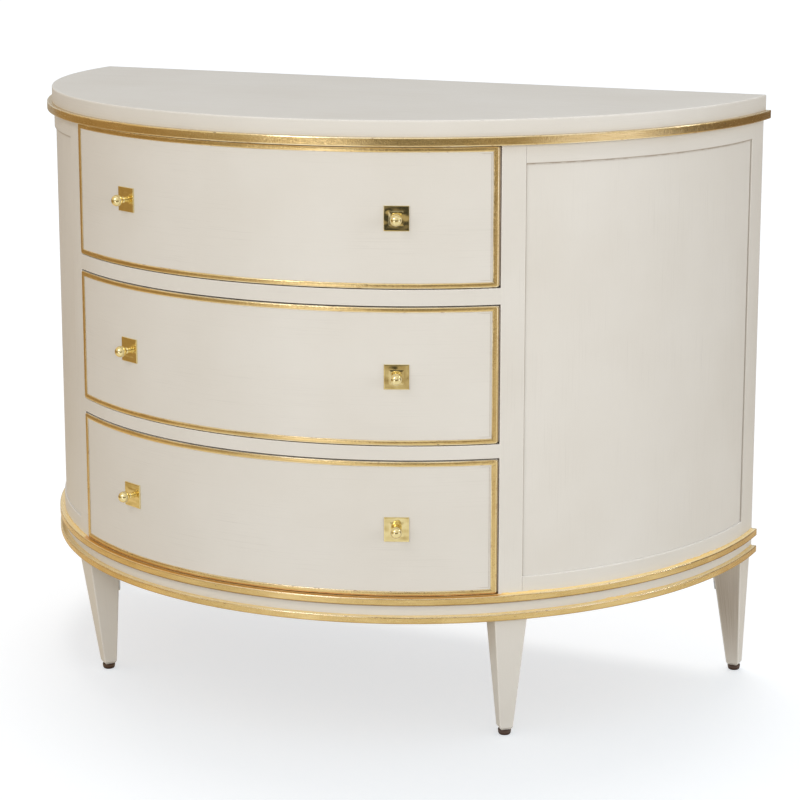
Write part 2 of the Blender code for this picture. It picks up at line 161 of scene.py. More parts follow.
def raised(flat, height):
    # plan points given their heights
    return np.concatenate([flat, np.broadcast_to(height, flat.shape[:-1])[..., None]], -1)


def capPart(ring, axes=(0, 2)):
    # a flat face over a ring of points; uv is two of its own axes
    return part(ring[None], ring[None][..., list(axes)], np.zeros((1, len(ring))), True)


def closedRows(points, wear):
    # repeats the first column at the end, so that uv runs on without a jump
    wear = np.broadcast_to(wear, points.shape[:2])
    return (np.concatenate([points, points[:, :1]], axis=1),
            np.concatenate([wear, wear[:, :1]], axis=1))


def ringParts(rings, wear, uv=None):
    # a surface through closed rings of points, each with its wear
    points, rows = closedRows(np.stack(rings), wear)
    return part(points, points[..., [0, 2]] if uv is None else uv, rows)


def tubeParts(rings, wear, uv=None, axes=(0, 2)):
    # the same with a flat face at each end
    return [ringParts(rings, wear, uv), capPart(rings[0], axes), capPart(rings[-1], axes)]


def bandParts(loop, wear, angles, side=1):
    # a profile of (reach, height) carried along the plan: point(i, j) is the plan's point at
    # angle i and reach j, at height j
    flat = planPoint(angles[:, None], loop[None, :, 0]) * (side, 1)
    uv = uvGrid(runningLength(planPoint(angles, 0.0)), roundLength(loop))
    return tubeParts(raised(flat, loop[:, 1]), wear, uv)


def uprightParts(outline, wear, heights, heightMarks, side):
    # a plan outline raised through some heights: point(i, j) is outline point j at height i
    heightMarks = heightMarks[:, None]
    flat = np.broadcast_to(outline * (side, 1), (len(heights), *outline.shape))
    rows = np.where(np.abs(wear) > np.abs(heightMarks), wear, heightMarks)
    uv = uvGrid(heights, roundLength(outline))
    return tubeParts(raised(flat, heights[:, None]), rows, uv, (0, 1))


def stripOutline(start, end, outer, inner, rounds, guard=0.0012, glaze=0.0, darkEnd=0.0):
    # a curved strip of the plan, whose two outer corners are arcs: at a distance s from a
    # corner the face falls back by r - sqrt(r^2 - (r - s)^2)
    middle = arcAngles(start, end)
    ends = []
    for angle, radius, way in ((start, rounds[0], 1), (end, rounds[1], -1)):
        size = max(radius, 1e-5)
        along, fall = easing(size)
        distance = np.append(along, size + guard)
        ends.append((angle + way * distance / speedAt(angle), np.append(fall, 0.0)))
    inside = middle[(middle > ends[0][0][-1]) & (middle < ends[1][0][-1])]
    angles = np.concatenate([ends[0][0], inside, ends[1][0][::-1]])
    fall = np.concatenate([ends[0][1], 0 * inside, ends[1][1][::-1]])
    # a given glaze mark darkens the end arcs instead of rubbing them: glaze in a recess, partly
    # painted shade
    edge = [glaze or 1.0] * 5 + [0.0]
    wear = np.concatenate([edge, 0 * inside, edge[::-1]])
    innerLine = planPoint(middle[::-1], inner)
    innerMarks = np.zeros(len(middle))
    if darkEnd:
        deep = planPoint(np.array([end]), outer - rounds[1] - 0.0010)
        innerLine = np.vstack([deep, innerLine])
        innerMarks = np.concatenate([[darkEnd, darkEnd], innerMarks[1:]])
    outline = np.vstack([planPoint(angles, outer - fall), innerLine])
    return outline, np.concatenate([wear, innerMarks])


def turnedParts(profile, place, turns=48):
    # a profile of (radius, height) turned about its own axis: point(i, j) is radius i at
    # angle j; place is (origin, right, up, out) as rows
    origin, right, up, out = np.asarray(place, float)
    angle = np.linspace(0, 2 * halfTurn, turns + 1)
    radius, height = profile[:, 0, None, None], profile[:, 1, None, None]
    points = (origin + radius * (np.cos(angle)[None, :, None] * right
                                 + np.sin(angle)[None, :, None] * up) + height * out)
    uv = uvGrid(runningLength(profile), angle * 0.01)[..., ::-1]
    return [part(points, uv, np.zeros(points.shape[:2]))]


def squareRings(place, halves, rises, radius):
    # rounded squares round a place's axis: ring(k) has half size k and lies at rise k
    origin, right, up, out = np.array(place)
    loops = [easedSquare(half, radius, 0.0006)[0] for half in halves]
    return np.stack([origin + loop[:, :1] * right + loop[:, 1:] * up + rise * out
                     for loop, rise in zip(loops, rises)])


# Making an object of the parts. Rows and columns become quads, shared points are merged, and
# the faces are turned outwards. A piece is called after the CAD node that it replaces, less the
# words that say nothing new; one that replaces no node says so.

def camel(name):
    first, *rest = name.split("_")
    return first + "".join(word.capitalize() for word in rest)


def addObject(title, data):
    made = bpy.data.objects.new(title, data)
    bpy.context.scene.collection.objects.link(made)
    return made


def makePiece(name, parts, slot, seed=0.0, body="case", sharp=32, replaced=True):
    points, uv, wear, faces = [], [], [], []
    first = 0
    for item in parts:
        rows, columns = item["points"].shape[:2]
        index = np.arange(rows * columns).reshape(rows, columns) + first
        if item["cap"]:
            faces.append(index[0].tolist())
        else:
            faces += quadFaces(index)
        points.append(item["points"].reshape(-1, 3))
        uv.append(item["uv"].reshape(-1, 2))
        wear.append(item["wear"].reshape(-1))
        first += rows * columns
    uv = np.vstack(uv) + seed
    title = name.replace("drawer_", "").replace("leg_bracket", "bracket")
    title = camel(title.removeprefix("foot_"))
    mesh = bpy.data.meshes.new(title)
    mesh.from_pydata(np.vstack(points).tolist(), [], faces)
    corner = np.empty(len(mesh.loops), np.int32)
    mesh.loops.foreach_get("vertex_index", corner)
    layer = mesh.uv_layers.new(name="finish")
    layer.data.foreach_set("uv", uv[corner].astype(np.float32).ravel())
    mark = mesh.attributes.new("wear", "FLOAT", "POINT")
    mark.data.foreach_set("value", np.concatenate(wear).astype(np.float32))
    shape = bmesh.new()
    shape.from_mesh(mesh)
    bmesh.ops.remove_doubles(shape, verts=shape.verts, dist=2e-6)
    bmesh.ops.recalc_face_normals(shape, faces=shape.faces)
    shape.to_mesh(mesh)
    shape.free()
    mesh.shade_smooth()
    mesh.set_sharp_from_angle(angle=math.radians(sharp))
    mesh.materials.append(surfaces[slot])
    piece = addObject(title, mesh)
    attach(piece, body)
    if replaced:
        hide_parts(name)


def quadFaces(index):
    quads = np.stack([index[:-1, :-1], index[1:, :-1], index[1:, 1:], index[:-1, 1:]], -1)
    return quads.reshape(-1, 4).tolist()


# Small helpers for materials. A new node joins the tree of the first socket it is fed from.

def isSocket(value):
    return isinstance(value, bpy.types.NodeSocket)


def plug(made, inputs):
    for key, value in inputs.items():
        if isSocket(value):
            made.id_data.links.new(value, made.inputs[key])
        else:
            made.inputs[key].default_value = value
    return made


def node(kind, inputs, tree=None, **settings):
    if tree is None:
        tree = next(value.id_data for value in inputs.values() if isSocket(value))
    made = tree.nodes.new(kind)
    for key, value in settings.items():
        setattr(made, key, value)
    return plug(made, inputs)


def maths(operation, first, second=0.0):
    return node("ShaderNodeMath", {0: first, 1: second}, operation=operation).outputs[0]


def times(first, second):
    return maths("MULTIPLY", first, second)


def span(value, low, high, newLow=0.0, newHigh=1.0):
    inputs = {0: value, 1: low, 2: high, 3: newLow, 4: newHigh}
    return node("ShaderNodeMapRange", inputs).outputs[0]


def mixed(share, first, second):
    inputs = {0: share, 6: first if isSocket(first) else (*first, 1.0), 7: (*second, 1.0)}
    return node("ShaderNodeMix", inputs, data_type="RGBA").outputs[2]


def stretched(vector, scale, place=(0, 0, 0)):
    inputs = {"Vector": vector, "Scale": scale, "Location": place}
    return node("ShaderNodeMapping", inputs).outputs[0]


def noise(vector, scale, detail=3.0, rough=0.55, distortion=0.0):
    inputs = {"Vector": vector, "Scale": scale, "Detail": detail, "Roughness": rough,
              "Distortion": distortion}
    return node("ShaderNodeTexNoise", inputs).outputs[0]


def streaked(vector, scale, detail=3.0, rough=0.55, distortion=0.0, place=(0, 0, 0)):
    return noise(stretched(vector, scale, place), 1.0, detail, rough, distortion)


def bumped(height, distance, strength):
    return {"Height": height, "Distance": distance, "Strength": strength}


def newMaterial(title):
    material = bpy.data.materials.new(title)
    material.use_nodes = True
    return material, material.node_tree


def onParts(title):
    # a material laid along each part's own uv, with the mark of its wear
    material, tree = newMaterial(title)
    uv = node("ShaderNodeUVMap", {}, tree, uv_map="finish").outputs[0]
    return material, uv, node("ShaderNodeAttribute", {}, tree, attribute_name="wear").outputs["Fac"]


def throughout(title):
    # a material that runs through the object's own space
    material, tree = newMaterial(title)
    return material, node("ShaderNodeTexCoord", {}, tree).outputs["Object"]


def finished(material, tone, roughness, bumps, metallic=0.0):
    # the shader, with one bump laid over the other
    normal = {}
    for bump in bumps:
        normal = {"Normal": node("ShaderNodeBump", {**bump, **normal}).outputs[0]}
    plug(material.node_tree.nodes["Principled BSDF"],
         {"Base Color": tone, "Roughness": roughness, "Metallic": metallic, **normal})
    return material


# Cream lacquer: brushed on, so fine streaks run along each part, over a slow change of tone;
# arrises are rubbed a little lighter, which is also a painted highlight, and a dark glaze tone
# darkens the recessed corners and paints shade into the gaps, under the mouldings and on the
# rear legs
cream = {
    "colour": (0.632, 0.616, 0.580),
    "warmTone": (0.573, 0.546, 0.496),
    "streakTone": (0.487, 0.468, 0.436),
    # lighter tone on arrises: rubbed paint and a painted highlight
    "rubbed": (0.706, 0.688, 0.652),
    # dark tone: glaze in the recesses, and painted shade in the gaps, under the mouldings and on
    # the rear legs
    "glaze": (0.215, 0.150, 0.088),
    "roughness": (0.36, 0.52),
    "streakHeight": 0.00004,
    # how often each pattern repeats in a metre, along and across the brush
    "clouds": 5.0,
    "streaks": (9.0, 620.0, 1.0),
    "fineStreaks": (60.0, 2200.0, 1.0),
    "patches": (7.0, 16.0, 1.0),
    "grit": 420.0,
}


def makeCream():
    material, uv, wear = onParts("creamLacquer")
    cloud = noise(uv, cream["clouds"], 3.0, 0.5)
    streaks = streaked(uv, cream["streaks"], 4.0, 0.6)
    fine = streaked(uv, cream["fineStreaks"], 2.0, 0.5, place=(3.1, 1.7, 0))
    thin = times(span(streaks, 0.54, 0.78), span(streaked(uv, cream["patches"]), 0.42, 0.66))
    tone = mixed(span(cloud, 0.35, 0.75, 0.0, 0.55), cream["colour"], cream["warmTone"])
    tone = mixed(times(thin, 0.55), tone, cream["streakTone"])
    tone = mixed(span(fine, 0.55, 0.9, 0.0, 0.22), tone, cream["streakTone"])
    grit = span(noise(uv, cream["grit"], 3.0, 0.6), 0.35, 0.65, 0.25, 0.8)
    # arrises lighter: rubbed paint, also a painted highlight
    tone = mixed(times(span(wear, 0.2, 1.0), grit), tone, cream["rubbed"])
    # darker where the mark is negative: glaze in the recesses, painted shade elsewhere
    dirt = times(span(wear, 0.0, -1.0), span(streaks, 0.3, 0.7, 0.6, 1.0))
    tone = mixed(dirt, tone, cream["glaze"])
    height = maths("ADD", streaks, times(fine, 0.5))
    return finished(material, tone, span(streaks, 0.3, 0.7, *cream["roughness"]),
                    [bumped(height, cream["streakHeight"], 0.8)])


# Gold leaf: squares of leaf a little apart in tone, crinkled in places and streaked in others,
# rubbed through to a red clay on some arrises, with a few dark nicks; darkened by painted shade
# under the beads and mouldings, and amber on one ledge as a painted reflection
leaf = {
    "bright": (0.800, 0.610, 0.300),
    "deep": (0.540, 0.365, 0.130),
    "burnished": (0.980, 0.860, 0.620),
    "clay": (0.300, 0.105, 0.035),
    "nick": (0.060, 0.035, 0.018),
    # dark leaf where the mark is negative: painted shade under the beads and mouldings, with some
    # dirt
    "dirt": (0.200, 0.096, 0.025),
    "lap": (0.860, 0.675, 0.335),
    # amber on the ledge under the lowest drawer: a painted reflection of the warm bead and the dark
    # gap
    "amber": (0.635, 0.318, 0.075),
    "leafSize": 0.085,
    "roughness": (0.15, 0.32),
    "crinkleHeight": 0.00070,
    "metal": (0.92, 0.2),             # where the leaf is whole and where it is bare or matt
    # how often each pattern repeats in a metre, along and across the strip
    "streaks": (40.0, 900.0, 1.0),
    "slow": (14.0, 60.0, 1.0),
    "crinkles": (340.0, 250.0, 1.0),
    "crinkled": (9.0, 9.0, 1.0),
    "rubs": (120.0, 500.0, 1.0),
    "nicks": (90.0, 240.0, 1.0),
}


def makeLeaf():
    material, uv, wear = onParts("goldLeaf")
    cell = node("ShaderNodeVectorMath", {0: stretched(uv, (1 / leaf["leafSize"], 1, 1))},
                operation="FLOOR").outputs[0]
    square = node("ShaderNodeTexWhiteNoise", {"Vector": stretched(cell, (1, 0, 0))}).outputs[0]
    streaks = streaked(uv, leaf["streaks"], 4.0, 0.6)
    slow = streaked(uv, leaf["slow"], place=(5.0, 2.0, 0))
    crinkle = streaked(uv, leaf["crinkles"], 3.0, 0.60, 0.8)
    where = span(streaked(uv, leaf["crinkled"], 2.0), 0.42, 0.58)
    share = maths("ADD", span(slow, 0.3, 0.7, 0.0, 0.55),
                  maths("ADD", span(streaks, 0.35, 0.7, 0.0, 0.3), span(square, 0, 1, 0, 0.18)))
    tone = mixed(share, leaf["bright"], leaf["deep"])
    onEdge = span(wear, 0.3, 1.0)
    tone = mixed(times(onEdge, span(slow, 0.35, 0.6, 0.15, 0.9)), tone, leaf["burnished"])
    worn = times(onEdge, span(streaked(uv, leaf["rubs"]), 0.60, 0.68))
    tone = mixed(times(worn, 0.65), tone, leaf["clay"])
    speck = span(streaked(uv, leaf["nicks"], 2.0, place=(7.0, 3.0, 0)), 0.735, 0.76)
    tone = mixed(speck, tone, leaf["nick"])
    # painted shade, with some dirt, where the mark is negative
    dirtAndShadeShare = times(span(wear, 0.0, -1.0), span(streaks, 0.3, 0.7, 0.7, 1.0))
    tone = mixed(dirtAndShadeShare, tone, leaf["dirt"])
    lapped = span(wear, 1.2, 1.8)
    tone = mixed(lapped, tone, leaf["lap"])
    # amber where the mark is 3: a painted reflection on the ledge under the drawers
    tone = mixed(span(wear, 2.1, 2.8), tone, leaf["amber"])
    bare = maths("MAXIMUM", maths("MAXIMUM", speck, times(worn, 0.5)), lapped)
    rough = maths("ADD", span(streaks, 0.3, 0.7, *leaf["roughness"]), span(where, 0, 1, 0.0, -0.04))
    folds = times(crinkle, span(where, 0, 1, 0.22, 1.0))
    height = times(maths("ADD", folds, times(streaks, 0.08)), span(wear, 0.3, 0.9, 1.0, 0.12))
    return finished(material, tone, rough, [bumped(height, leaf["crinkleHeight"], 0.7)],
                    span(bare, 0, 1, *leaf["metal"]))


# Polished brass: a bright mirror with hair scratches and a faint bloom
brass = {
    "bright": (0.840, 0.715, 0.390),
    "bloom": (0.690, 0.550, 0.260),
    "roughness": (0.05, 0.13),
    "scratchHeight": 0.000006,
    "waveHeight": 0.00120,
}


def makeBrass():
    material, place = throughout("polishedBrass")
    bloom = span(noise(place, 90.0), 0.45, 0.75, 0.0, 0.5)
    hair = streaked(place, (300.0, 300.0, 4200.0), 2.0)
    waves = noise(place, 48.0, 1.0)
    bumps = [bumped(waves, brass["waveHeight"], 1.0), bumped(hair, brass["scratchHeight"], 0.5)]
    return finished(material, mixed(bloom, brass["bright"], brass["bloom"]),
                    span(hair, 0.35, 0.7, *brass["roughness"]), bumps, 1.0)


# Bare hardwood: grain along one axis, with darker rings and fine pores
hardwood = {
    "light": (0.560, 0.390, 0.230),
    "dark": (0.360, 0.225, 0.115),
    "pore": (0.150, 0.085, 0.040),
    "roughness": 0.58,
    "poreDepth": 0.0002,
    "grainScale": (2.2, 26.0),        # along the grain and across it
    "poreScale": (90.0, 1500.0),
}


def makeHardwood(title, axis):
    material, place = throughout(title)

    def grained(scale, *settings):
        return streaked(place, [scale[0] if k == axis else scale[1] for k in range(3)], *settings)

    rings = maths("FRACT", times(grained(hardwood["grainScale"], 4.0, 0.5, 0.6), 9.0))
    pore = grained(hardwood["poreScale"], 2.0)
    tone = mixed(span(rings, 0.0, 1.0, 0.1, 0.85), hardwood["light"], hardwood["dark"])
    tone = mixed(span(pore, 0.60, 0.72, 0.0, 0.7), tone, hardwood["pore"])
    return finished(material, tone, hardwood["roughness"],
                    [bumped(pore, hardwood["poreDepth"], 0.5)])


# Plywood: a rotary-cut face with long flames, and plies that show on the edges
ply = {
    "light": (0.610, 0.470, 0.300),
    "dark": (0.470, 0.330, 0.190),
    "glueLine": (0.230, 0.140, 0.075),
    "roughness": (0.55, 0.72),
    "fibreDepth": 0.00015,
    "plyThickness": 0.0015,
}


def makePlywood(title, scale, layerAxis):
    material, place = throughout(title)
    flames = streaked(place, scale, 5.0, 0.55, 1.2)
    fibres = streaked(place, [60 * value for value in scale], 2.0)
    tone = mixed(span(flames, 0.3, 0.7), ply["light"], ply["dark"])
    tone = mixed(span(fibres, 0.5, 0.85, 0.0, 0.4), tone, ply["dark"])
    through = node("ShaderNodeSeparateXYZ", {0: place}).outputs[layerAxis]
    layer = maths("FRACT", maths("DIVIDE", through, 2 * ply["plyThickness"]))
    geometry = node("ShaderNodeNewGeometry", {}, material.node_tree)
    across = node("ShaderNodeSeparateXYZ", {0: geometry.outputs["True Normal"]}).outputs[layerAxis]
    onEdge = span(maths("ABSOLUTE", across), 0.6, 0.4)
    stripe = times(maths("GREATER_THAN", layer, 0.5), onEdge)
    tone = mixed(times(stripe, 0.6), tone, ply["glueLine"])
    return finished(material, tone, span(fibres, 0.3, 0.7, *ply["roughness"]),
                    [bumped(fibres, ply["fibreDepth"], 0.4)])


# Zinc-plated steel: a grey spangle with soft scratches
zinc = {
    "light": (0.560, 0.565, 0.575),
    "dark": (0.390, 0.395, 0.410),
    "roughness": (0.30, 0.46),
    "scratchDepth": 0.00004,
}


def makeZinc():
    material, place = throughout("zincPlatedSteel")
    spangle = node("ShaderNodeTexVoronoi", {"Vector": place, "Scale": 160.0}).outputs["Color"]
    grey = node("ShaderNodeSeparateXYZ", {0: spangle}).outputs[0]
    scratch = streaked(place, (300.0, 300.0, 2400.0), 2.0)
    return finished(material, mixed(grey, zinc["light"], zinc["dark"]),
                    span(scratch, 0.3, 0.7, *zinc["roughness"]),
                    [bumped(scratch, zinc["scratchDepth"], 0.5)], 1.0)


# Dark brown plastic: moulded, with a fine bead-blasted skin and a few scuffs
plastic = {
    "colour": (0.050, 0.024, 0.016),
    "scuff": (0.130, 0.085, 0.065),
    "roughness": (0.30, 0.50),
    "skinDepth": 0.00006,
}


def makePlastic():
    material, place = throughout("darkBrownPlastic")
    scuffs = streaked(place, (90.0, 90.0, 700.0))
    tone = mixed(span(scuffs, 0.60, 0.75, 0.0, 0.7), plastic["colour"], plastic["scuff"])
    return finished(material, tone, span(scuffs, 0.3, 0.7, *plastic["roughness"]),
                    [bumped(noise(place, 1800.0, 2.0), plastic["skinDepth"], 0.5)])


surfaces = {
    "cream_lacquer": makeCream(),
    "gold_leaf": makeLeaf(),
    "polished_brass": makeBrass(),
    "zinc_plated_steel": makeZinc(),
    "dark_brown_plastic": makePlastic(),
}
print("finishes mixed")


# Top: a slab with soft edges on a gilt moulding
topSizes = {
    "slabReach": 0.0028,
    "slabRound": 0.0018,
    "slabFoot": 0.0001,       # rounding of the slab's lower edge
    "slabSink": 0.0004,       # how far the slab sinks into the moulding
    "mouldingReach": 0.0106,
    "mouldingRound": 0.0010,
}


def slabRing(inset, height):
    # the slab's outline drawn in by an inset, front curve first and then along the back
    x, y = planPoint(arcAngles(0.0, halfTurn), topSizes["slabReach"] - inset).T
    backY = plan["backY"] - inset
    back = np.linspace(x[-1], x[0], 60)[1:-1]
    x = np.concatenate([x, back])
    y = np.concatenate([np.minimum(y, backY), np.full(len(back), backY)])
    return np.stack([x, y, np.full(len(x), height)], -1)


def makeSlab():
    # rings round the slab: in along the underside, up the rounded edge and in over the top
    bottom, top = levels("top_slab")
    bottom -= topSizes["slabSink"]
    size = topSizes["slabRound"]
    rise, run = easing(topSizes["slabFoot"], 6)
    inward, fall = easing(size, 6)
    insets = np.concatenate([[2 * size], run, [0, 0], inward, [2 * size, 3 * size]])
    heights = np.concatenate([[bottom], bottom + rise, [bottom + 2 * size, top - 2 * size],
                              top - fall, [top, top]])
    wear = np.array([0] * 9 + [0.8] * 6 + [0] * 2)
    rings = np.stack([slabRing(inset, height) for inset, height in zip(insets, heights)])
    up = runningLength(np.stack([insets, heights], -1))
    uv = uvGrid(up, roundLength(slabRing(0, 0)))[..., ::-1]
    makePiece("top_slab", tubeParts(rings, wear[:, None], uv, (0, 1)), "cream_lacquer", 3.3)


def mouldingLoop(name, reach, size):
    # the profile of a moulding: its inner face, then round its two eased arrises
    bottom, top = levels(name)
    inner = -plan["frameDepth"]
    corners = [(inner, bottom), (reach, bottom), (reach, top), (0, top), (inner, top)]
    return bottom, top, *easedLoop(corners, [0, size, size, 0, 0])


def makeTopMoulding():
    reach, size = topSizes["mouldingReach"], topSizes["mouldingRound"]
    *_, loop, wear = mouldingLoop("top_moulding", reach, size)
    wear = np.where(loop[:, 0] == 0, 0.7, wear)
    parts = bandParts(loop, wear, arcAngles(0.0, halfTurn))
    makePiece("top_moulding", parts, "gold_leaf", 1.7)


makeSlab()
makeTopMoulding()
print("top made")


# Base: a cream frieze between two gilt mouldings
baseSizes = {
    "reach": 0.0080,
    "round": 0.0009,
    "glazeHeight": 0.0012,
    "lap": 0.0026,            # how high the leaf laps up onto the cream
    "lapThick": 0.00022,
    "lapRoot": 0.0003,        # how far the lap runs down into the moulding
    "lapSink": 0.0002,        # and back into the face
    "lapLeast": 0.00005,
    "lapUnderDrawer": 0.0003,
    "underDrawerX": 0.3402,   # half the width of the drawer opening
}


def lapParts(level, seed):
    # leaf that laps up onto the cream above a moulding, in a thin strip with an uneven edge:
    # height(a) = lap * (0.2 + 0.6 patch + 0.16 patch * a sum of sines), low under the drawers
    angles = np.linspace(0.0, halfTurn, 1400)
    run = angles * plan["halfWidth"] * 1000
    wave = (np.sin(run / 7.3 + seed) + np.sin(run / 3.1 + 2 * seed)
            + 0.7 * np.sin(run / 1.3 + 5 * seed))
    patch = np.clip(np.sin(run / 61.0 + seed) + 0.4 * np.sin(run / 23.0), 0, 1)
    height = baseSizes["lap"] * (0.20 + 0.16 * wave * patch + 0.6 * patch)
    under = np.abs(planPoint(angles, 0.0)[:, 0]) < baseSizes["underDrawerX"]
    height = np.where(under, np.minimum(height, baseSizes["lapUnderDrawer"]), height)
    sink, thick = baseSizes["lapSink"], baseSizes["lapThick"]
    reach = np.array([-sink, thick, thick, -sink])
    edge = np.maximum(height, baseSizes["lapLeast"])
    root = np.full(len(edge), -baseSizes["lapRoot"])
    heights = level + np.stack([root, root, edge, edge], -1)
    points = raised(planPoint(angles[:, None], reach[None, :]), heights)
    return tubeParts(points, 2.0, uvGrid(run / 1000, np.linspace(0, 0.004, 5)))


def makeBase():
    whole = arcAngles(0.0, halfTurn)
    size = baseSizes["round"]
    for name, dirt, seed in (("base_moulding_upper", -0.9, 5.1),
                             ("base_moulding_lower", -0.4, 8.9)):
        bottom, top, loop, wear = mouldingLoop(name, baseSizes["reach"], size)
        ledge = top - size * 0.02
        wear = np.where((loop[:, 1] > ledge) & (loop[:, 0] >= 0), 2.0, wear)
        # the lower arris is darkened: painted shade under each moulding
        wear = np.where((loop[:, 1] < bottom + size * 1.05) & (loop[:, 0] > 0), dirt, wear)
        parts = bandParts(loop, wear, whole)
        if name == "base_moulding_upper":
            # the ledge under the lowest drawer is painted amber: a painted reflection of the warm
            # bead and the dark gap
            x, z = parts[0]["points"][..., 0], parts[0]["points"][..., 2]
            gap = (np.abs(x) < baseSizes["underDrawerX"]) & (z > ledge)
            parts[0]["wear"] = np.where(gap, 3.0, parts[0]["wear"])
        makePiece(name, parts + lapParts(top, seed), "gold_leaf", seed)
    bottom, top = levels("base_frieze")
    edge, inner = baseSizes["glazeHeight"], -plan["frameDepth"]
    heights = [bottom, bottom + edge / 2, bottom + edge, top - 2 * edge, top - edge, top]
    loop = np.array([(inner, bottom)] + [(0.0, height) for height in heights] + [(inner, top)])
    # darker at the foot and most under the upper moulding: painted shade
    wear = np.array([0, -0.3, 0, 0, 0, -0.15, -0.7, 0])
    makePiece("base_frieze", bandParts(loop, wear, whole), "cream_lacquer", 2.2)


makeBase()
print("base made")


# Case frame: stiles, rails and the curved sides with their recessed panels
frameSizes = {
    "stileInnerX": 0.3362,
    "stileOuterX": 0.3632,
    "rearStileDepth": 0.0500,
    "arris": 0.0009,          # rounding of the edges beside the drawers and panels
    "joint": 0.0004,          # rounding where two frame parts meet, which shows as a fine line
    "jointGap": 0.00025,
    "panelRecess": 0.0025,
    "sillRound": 0.0013,      # rounding of the side rail's edge under the panel
    "panelThickness": 0.0120,
    "panelJoint": 0.0002,
    "glazeWidth": 0.0016,
    # painted shade under the top: how far down it starts and deepens, and its mark there and at the
    # top
    "gatherHeight": (0.0040, 0.0012),
    "gatherWear": (0, -0.1, -0.7),
    "stileFoot": 0.0012,      # a row of points just above the foot
    "railDepth": 0.0450,
}


def makeStiles():
    bottom, top = levels("front_stile_right")
    start, end = (angleAtX(frameSizes[key]) for key in ("stileOuterX", "stileInnerX"))
    # the inner side beside the drawers is darkened and the stile darkens under the top moulding:
    # painted shade
    outline, wear = stripOutline(start, end, 0.0, -plan["frameDepth"],
                                 (frameSizes["joint"], frameSizes["arris"]), darkEnd=-1.0)
    heights = np.array([bottom, bottom + frameSizes["stileFoot"],
                        *(top - down for down in frameSizes["gatherHeight"]), top])
    underTopShade = np.array([0, 0, *frameSizes["gatherWear"]])
    for title, side, seed in (("right", 1, 0.3), ("left", -1, 4.4)):
        parts = uprightParts(outline, wear, heights, underTopShade, side)
        makePiece("front_stile_" + title, parts, "cream_lacquer", seed)


def makeDrawerRails():
    # the rails run on into the rounding of the stiles, so that the faces are flush
    size, inner = frameSizes["arris"], -frameSizes["railDepth"]
    reach = frameSizes["stileInnerX"] + size
    angles = arcAngles(angleAtX(reach), halfTurn - angleAtX(reach))
    for name, seed in (("drawer_rail_upper", 6.1), ("drawer_rail_lower", 7.7)):
        bottom, top = levels(name)
        loop, wear = easedLoop([(inner, bottom), (0, bottom), (0, top), (inner, top)],
                               [0, size, size, 0])
        # the top and bottom faces, in the gaps by the drawers, are darkened: painted shade
        wear = np.where(loop[:, 0] < -1.5 * size, -1.0, wear)
        makePiece(name, bandParts(loop, wear, angles), "cream_lacquer", seed)


def makeSides():
    bottom, top = levels("side_frame_right")
    panelBottom, panelTop = levels("side_panel_right")
    inner, face = -plan["frameDepth"], -frameSizes["panelRecess"]
    joint, arris, width = (frameSizes[key] for key in ("joint", "arris", "glazeWidth"))
    rear = math.asin(frameSizes["rearStileDepth"] / plan["depth"])
    gap = frameSizes["jointGap"] / plan["halfWidth"]
    front = angleAtX(frameSizes["stileOuterX"]) - gap
    (start, edge), underTopShade = frameSizes["gatherHeight"], frameSizes["gatherWear"]
    # the rear stile's end in the recess is darkened: glaze, partly painted shade
    stile, stileMarks = stripOutline(0.0, rear, 0.0, inner, (arris, joint), darkEnd=-0.45)
    stileHeights = np.array([bottom, top - start, top - edge, top])
    # the panel's ends darken: glaze in the recess, partly painted shade
    panel, panelMarks = stripOutline(rear + gap, front, face, face - frameSizes["panelThickness"],
                                    (frameSizes["panelJoint"],) * 2, guard=width, glaze=-0.9)
    panelHeights = np.array([panelBottom, panelBottom + width, panelTop - 2 * width,
                             panelTop - width, panelTop])
    # darker under the top rail: painted shade
    panelTopShade = np.array([0.0, 0, 0, -0.3, -0.9])
    rails = ((panelTop, top, (joint, 0)), (bottom, panelBottom, (0, frameSizes["sillRound"])))
    for title, side, seed in (("right", 1, 0.9), ("left", -1, 5.5)):
        parts = uprightParts(stile, stileMarks, stileHeights, np.array([0, *underTopShade]), side)
        for low, high, rounds in rails:
            rim, rimMarks = easedLoop([(inner, low), (0, low), (0, high), (inner, high)],
                                     [0, *rounds, 0])
            # the top rail's arris over the panel is darkened, and the rail darkens under the top
            # moulding: painted shade
            if rounds[0]:
                count = len(rim) - 2
                rim = np.vstack([rim[:count], (0, high - start), (0, high - edge), rim[count:]])
                rimMarks = np.concatenate([-np.abs(rimMarks[:count]), [*underTopShade, 0.0]])
            parts += bandParts(rim, rimMarks, arcAngles(rear, front), side)
        makePiece("side_frame_" + title, parts, "cream_lacquer", seed)
        parts = uprightParts(panel, panelMarks, panelHeights, panelTopShade, side)
        makePiece("side_panel_" + title, parts, "cream_lacquer", seed + 1.3)


makeStiles()
makeDrawerRails()
makeSides()
print("case frame made")


# Legs: a square taper with eased arrises, set over towards its foot
legSizes = {
    "top": 0.0476,
    "foot": 0.0198,
    "round": 0.0013,
    "length": 0.1754,
    "chamfer": 0.0028,
    "chamferHeight": 0.0042,
    "topZ": 0.1837,
    "frontShift": 0.0016,
    "frontFoot": (0.0025, 0.0112),    # sideways and inward
    "rearFoot": (-0.0028, -0.0113),
    "rearSideInset": 0.0021,
    # painted shade on the front faces of the rear legs, where the case shades them
    "rearGlaze": 0.62,                # on the front faces of the rear legs, by a sine
    "rearGlazeRun": (0.12, 0.8),      # where on half a turn of it the leg starts, and how much
    "topRow": 0.0015,                 # rows of points just under the top and past the taper
    "toeRow": 0.0004,
}
taper = legSizes["length"] - legSizes["chamferHeight"]


def turnedAxes(turn):
    # the right and inward directions of something turned about the vertical
    return np.array([[math.cos(turn), math.sin(turn), 0], [-math.sin(turn), math.cos(turn), 0]])


